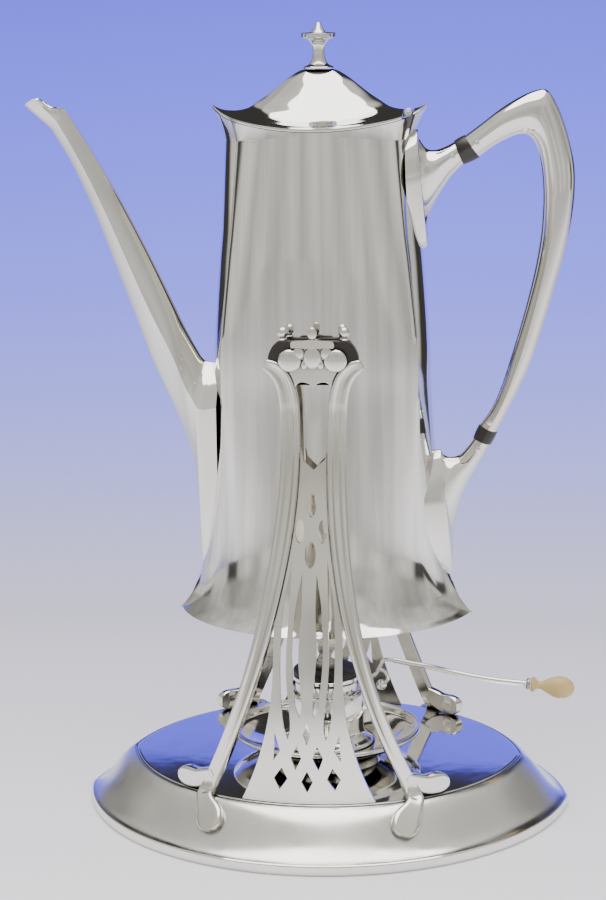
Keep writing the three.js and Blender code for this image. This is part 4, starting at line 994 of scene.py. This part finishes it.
def band_rings(first, last):
    """An insulating band between two pieces, a little proud of both, with rounded edges."""
    rings = []
    for i, (ax, az, bx, bz, share, width) in enumerate(smooth([first, last], 9)):
        proud = 0.6 * sin(pi * (0.12 + 0.76 * i / 8)) ** 0.4
        out = unit([bx - ax, bz - az]) * proud
        upper, lower = (ax, az) - out + (waist_x, pivot), (bx, bz) + out + (waist_x, pivot)
        rings.append(ridge_ring(upper, lower, share, width + proud, True))
    return rings


# Where each pin crosses the handle: out, up and half its length.
handle_pins = {
    "upper_socket": (9.6, 83.6, 6.1),
    "upper_grip": (20, 89.4, 5.8),
    "lower_grip": (26, -33.6, 5.1),
    "lower_socket": (20.8, -45.8, 5.1),
}


def add_handle():
    for node, stations, count in (
        ("handle_socket_upper", upper_socket_stations, 60),
        ("handle_grip", grip_stations, 170),
        ("handle_socket_lower", lower_socket_stations, 70),
    ):
        fine(node, skin(ridge_rings(stations, count, soft=True)), "kettle", sharp=26)
    upper = band_rings(upper_socket_stations[-1], grip_stations[0])
    lower = band_rings(grip_stations[-1], lower_socket_stations[0])
    fine("insulator_upper", skin(upper), "kettle", ebony)
    fine("insulator_lower", skin(lower), "kettle", ebony)
    for place, (x, z, half) in handle_pins.items():
        half += 0.25
        low = [(0, -half - 0.3), (0.9, -half - 0.2), (1.2, -half)]
        points, faces = turned([*low, (1.2, half), (0.9, half + 0.2), (0, half + 0.3)], 24)
        pin = moved((points[:, [0, 2, 1]], faces), (waist_x + x, 0, pivot + z))
        fine(f"handle_pin_{place}", pin, "kettle")


# The lamp, with heights from its own foot

lamp_base = platform_height + gap
drum_top = 28.6
collar_top = drum_top + 5
damper_bottom = collar_top + 2.3


def lamp_piece(node, profile, material, body="lamp"):
    fine(node, moved(turned(profile, 96), (0, 0, lamp_base)), body, material, sharp=35)


def add_lamp():
    upper = smooth([(25.5, 3), (30, 4.2), (35, 5.6), (39.5, 7.4), (41.6, 8.6)], 24)
    rim = [(43.4 + 0.9 * cos(a) - 0.9, 10.4 + 0.9 * sin(a)) for a in np.linspace(-1.2, 2.6, 14)]
    lower = smooth([(41, 10.2), (38.5, 8.8), (33.5, 7), (28, 5.4), (22, 4.2)], 24)
    foot_ring = [(0, 2), (21.5, 2), (22, 0), (24, 0), (24.4, 0.6)]
    lamp_piece("lamp_dish", [*foot_ring, *upper, *rim, *lower, (0, 4.2)], mirror_silver)
    flare = smooth([(22.2, 4.9), (21.6, 5.8), (19.4, 7.4), (17.8, 9.2), (17.2, 11.2)], 20)
    bead = [(17.2, 17), (17.5, 17.3), (17.5, 18.1), (17.2, 18.4)]
    drum = [(0, 4.6), (22.2, 4.6), *flare, *bead, (17.2, drum_top - 1.4), (16.8, drum_top - 0.5)]
    shoulder = [(16, drum_top), (14.2, drum_top), (14, drum_top + 0.3), (14, collar_top - 1)]
    collar = [(13.4, collar_top - 0.2), (12.8, collar_top), (11.8, collar_top)]
    mouth = [(11.8, damper_bottom - gap), (5.3, damper_bottom - gap)]
    inner = [(5.3, drum_top - 1.2), (16, drum_top - 2.2), (16, 5.8), (0, 5.8)]
    lamp_piece("lamp_reservoir", drum + shoulder + collar + mouth + inner, silver)
    tube_top = damper_bottom + 6.2
    lip = [(5, tube_top), (4.5, tube_top + 0.2), (4, tube_top)]
    lamp_piece("burner_tube", [(4, 16.6), (5, 16.6), *lip, (4, 16.6)], dull_silver)
    crown = [(3.7, tube_top), (3.3, tube_top + 0.9), (2, tube_top + 1.4), (0, tube_top + 1.5)]
    lamp_piece("wick", [(0, 6.6), (3.7, 6.6), *crown], cotton)
    edge = [(14.6, 0), (15, 0.4), (15, 2.4), (14.6, 2.9), (13.6, 3)]
    damper = [(r, damper_bottom + z) for r, z in [(5.35, 0), *edge, (5.35, 3), (5.35, 0)]]
    lamp_piece("damper_plate", damper, blackened, "regulator")


rod_path = [(31, 43), (39, 41.6), (48.4, 40), (58.6, 37.8), (68.9, 35.8), (80, 34.3), (91.4, 33.3)]


def upright(points):
    return [(x, 0, lamp_base + z) for x, z in points]


def add_regulator():
    low, high = collar_top + gap, damper_bottom - gap
    middle = (low + high) / 2
    radius = (high - low) / 2
    edge = [(14.8, low), (15, low + 0.2), (15, high - 0.2), (14.8, high)]
    ring = moved(turned([(12.15, low), *edge, (12.15, high), (12.15, low)], 64), (0, 0, lamp_base))
    bend = [(13.6, middle), (18.6, middle), (22.6, middle + 1), (24.6, middle + 4.4), (27, 42.9), (31.4, 43)]
    bracket = smooth(upright(bend), 50)
    hook = [(24, middle + 4), (27.4, middle + 2.4), (28.4, middle - 1), (26.4, middle - 3.4)]
    curl = smooth(upright(hook), 30)
    knob = ball((25.6, 0, lamp_base + middle - 3.6), 2.4)
    arm = merged(ring, tube(bracket, radius), tube(curl, radius), knob)
    fine("regulator_arm", arm, "regulator")
    rod = upright(rod_path)
    fine("regulator_rod", tube(smooth(rod, 60), 1.25), "regulator")
    last, end = np.array(rod[-2:])
    way = unit(end - last)
    turn = np.array(Vector((0, 0, 1)).rotation_difference(Vector(way)).to_matrix())

    def on_rod(part, along):
        return part[0] @ turn.T + end + way * along, part[1]

    cap = turned([(0, 0), (2, 0), (2.5, 0.4), (2.65, 1), (2.5, 1.6), (2.2, 1.8), (0, 1.8)], 40)
    fine("knob_ferrule", on_rod(cap, gap), "regulator", dull_silver)
    grip = [(3, 0.1), (3.6, 1), (3, 2), (2, 3), (1.8, 4.6), (3, 7), (4.4, 10), (5, 13), (4.6, 16)]
    grip = smooth(grip + [(3.2, 18.5), (1.2, 19.75)], 70)
    handle = turned([(0, 0), (2.6, 0), *grip, (0, 19.9)], 48)
    fine("regulator_knob", on_rod(handle, 2.4), "regulator", ivory)


# Studio


def add_camera():
    """The photograph's view, found by fitting its base, feet and rim."""
    azimuth, height, reach = 0.11703, 357.3, 976.47
    yaw, pitch, roll = 0.12642, 0.19454, -0.01374
    image_height, focal_pixels, film = 900, 2206.13, 36
    place = Vector((sin(azimuth) * reach, -cos(azimuth) * reach, height)) * MM
    place.x += base_middle
    ahead = Vector((-sin(yaw) * cos(pitch), cos(yaw) * cos(pitch), -sin(pitch)))
    right = Vector((cos(yaw), sin(yaw), 0))
    up = right.cross(ahead)
    right, up = right * cos(roll) + up * sin(roll), up * cos(roll) - right * sin(roll)
    data = bpy.data.cameras.new("photo_camera")
    data.sensor_fit = "VERTICAL"
    data.sensor_height = film
    data.lens = focal_pixels / image_height * film
    data.clip_start = 0.05
    camera = place_object("photo_camera", data)
    camera.matrix_world = Matrix.Translation(place) @ Matrix((right, up, -ahead)).transposed().to_4x4()
    bpy.context.scene.camera = camera


def axes_of(tree, output):
    """The X, Y and Z of a texture coordinate."""
    split = tree.nodes.new("ShaderNodeSeparateXYZ")
    fill(split, {"Vector": add_node(tree, "TexCoord", output)})
    return split.outputs


def add_floor():
    """A pale floor that curves up into a lavender backdrop, with painted light: brightest just in front of
    the set, darker towards the front, behind the set and up the backdrop, and glowing a little from within.
    """
    material, tree, shader = node_material("floor")
    _, y, z = axes_of(tree, "Object")
    # Painted light: tones brightest just in front of the set and darker towards the front, behind the set and
    # up the backdrop.
    stops = [
        (0, (0.5, 0.49, 0.5)), (0.222, (0.64, 0.63, 0.65)), (0.35, (0.84, 0.83, 0.88)),
        (0.427, (0.67, 0.665, 0.72)), (0.521, (0.47, 0.465, 0.55)), (0.647, (0.365, 0.37, 0.7)),
        (0.811, (0.18, 0.193, 0.93)), (0.924, (0.12, 0.126, 0.93)), (1, (0.09, 0.09, 0.72)),
    ]
    along = add_node(tree, "Math", "Value", {0: y, 1: z}, operation="ADD")
    colour = ramp(tree, over_range(tree, along, -1.1, 1.6), stops)
    # Painted light: the floor glows with the same tones.
    glow = {"Emission Color": colour, "Emission Strength": 0.62}
    fill(shader, {"Base Color": colour, "Roughness": 0.8, **glow})
    back, bend = 0.7, 0.43
    curve = [(y, 0) for y in np.linspace(-3, back, 12)]
    for angle in np.linspace(0.06, pi / 2, 24):
        curve.append((back + bend * sin(angle), bend - bend * cos(angle)))
    floor_half, wall_half = 3, 0.85
    points = [(x * (wall_half if z else floor_half), y, z) for y, z in curve for x in (-1, 1)]
    faces = [(2 * i, 2 * i + 1, 2 * i + 3, 2 * i + 2) for i in range(len(curve) - 1)]
    mesh = bpy.data.meshes.new("backdrop")
    mesh.from_pydata(points, [], faces)
    mesh.shade_smooth()
    mesh.materials.append(material)
    place_object("backdrop", mesh)


def add_top_panel():
    """One wide soft light straight above the set."""
    data = bpy.data.lights.new("top_panel", "AREA")
    data.shape = "ELLIPSE"
    data.size, data.size_y = 1.5, 1.9
    data.energy = 24
    place = Vector((0, 0, 1.5))
    turn = (-place).to_track_quat("-Z", "Y").to_matrix().to_4x4()
    place_object("top_panel", data).matrix_world = Matrix.Translation(place) @ turn


# Rows of place and brightness round the tent, low down: from the front by the left side to the back,
# and on by the right side.
tent_left = [(0, 0.75), (0.02, 1), (0.045, 0.62), (0.07, 1), (0.1, 0.7), (0.14, 1), (0.175, 0.6), (0.2, 1)]
tent_left += [(0.228, 0.9), (0.24, 0.08), (0.265, 0.08), (0.28, 0.95), (0.32, 0.9), (0.34, 0.06)]
tent_right = [(0.66, 0.06), (0.68, 0.8), (0.715, 0.95), (0.73, 0.08), (0.755, 0.08), (0.77, 0.9), (0.795, 1)]
tent_right += [(0.83, 0.62), (0.87, 1), (0.9, 0.72), (0.93, 1), (0.955, 0.64), (0.98, 0.97), (1, 0.75)]

# Higher up, the same way and alike on both sides. Then the ceiling from left to right, front and back.
tent_haze = [(0, 0.62), (0.06, 0.8), (0.1, 0.6), (0.14, 0.85), (0.19, 0.6), (0.25, 0.45), (0.29, 0.75)]
tent_haze += [(0.34, 0.4), (0.42, 0.3), (0.435, 0.05)]
front_ceiling = [(0, 0.6), (0.15, 0.75), (0.22, 0.95), (0.4, 0.9), (0.5, 0.98), (0.6, 0.9), (0.78, 0.95)]
front_ceiling += [(0.85, 0.75), (1, 0.6)]
back_ceiling = [(0, 0.65), (0.22, 0.6), (0.25, 0.05), (0.75, 0.05), (0.78, 0.6), (1, 0.65)]


def add_studio():
    """A light tent with streaks, for light and reflections. The camera sees a plain lavender in its place."""
    world = bpy.data.worlds.new("studio")
    world.use_nodes = True
    tree = world.node_tree
    x, y, z = axes_of(tree, "Generated")
    turn = add_node(tree, "Math", "Value", {0: x, 1: y}, operation="ARCTAN2")
    around = over_range(tree, turn, -pi, pi)
    across = over_range(tree, x, -1, 1)

    def streaks(source, rows):
        return ramp(tree, source, [(place, (value, value * 0.985, value * 0.94)) for place, value in rows])

    low_walls = streaks(around, tent_left + tent_right)
    high_walls = streaks(around, tent_haze + [(1 - place, value) for place, value in reversed(tent_haze)])
    front, back = streaks(across, front_ceiling), streaks(across, back_ceiling)
    ceiling = blended(tree, over_range(tree, y, 0.4, 0.5), front, back)
    walls = blended(tree, over_range(tree, z, 0.06, 0.16), low_walls, high_walls)
    tent = blended(tree, over_range(tree, z, 0.42, 0.52), walls, ceiling)
    camera_share = add_node(tree, "LightPath", "Is Camera Ray")
    seen = blended(tree, camera_share, tent, (0.3, 0.33, 1, 1))
    fill(tree.nodes["Background"], {"Color": seen, "Strength": 0.88})
    bpy.context.scene.world = world
    add_top_panel()
    add_floor()


add_camera()
add_base()
add_legs()
add_panels()
add_bearings()
add_body()
add_lid()
add_finial()
add_spout()
add_handle()
add_lamp()
add_regulator()
add_studio()
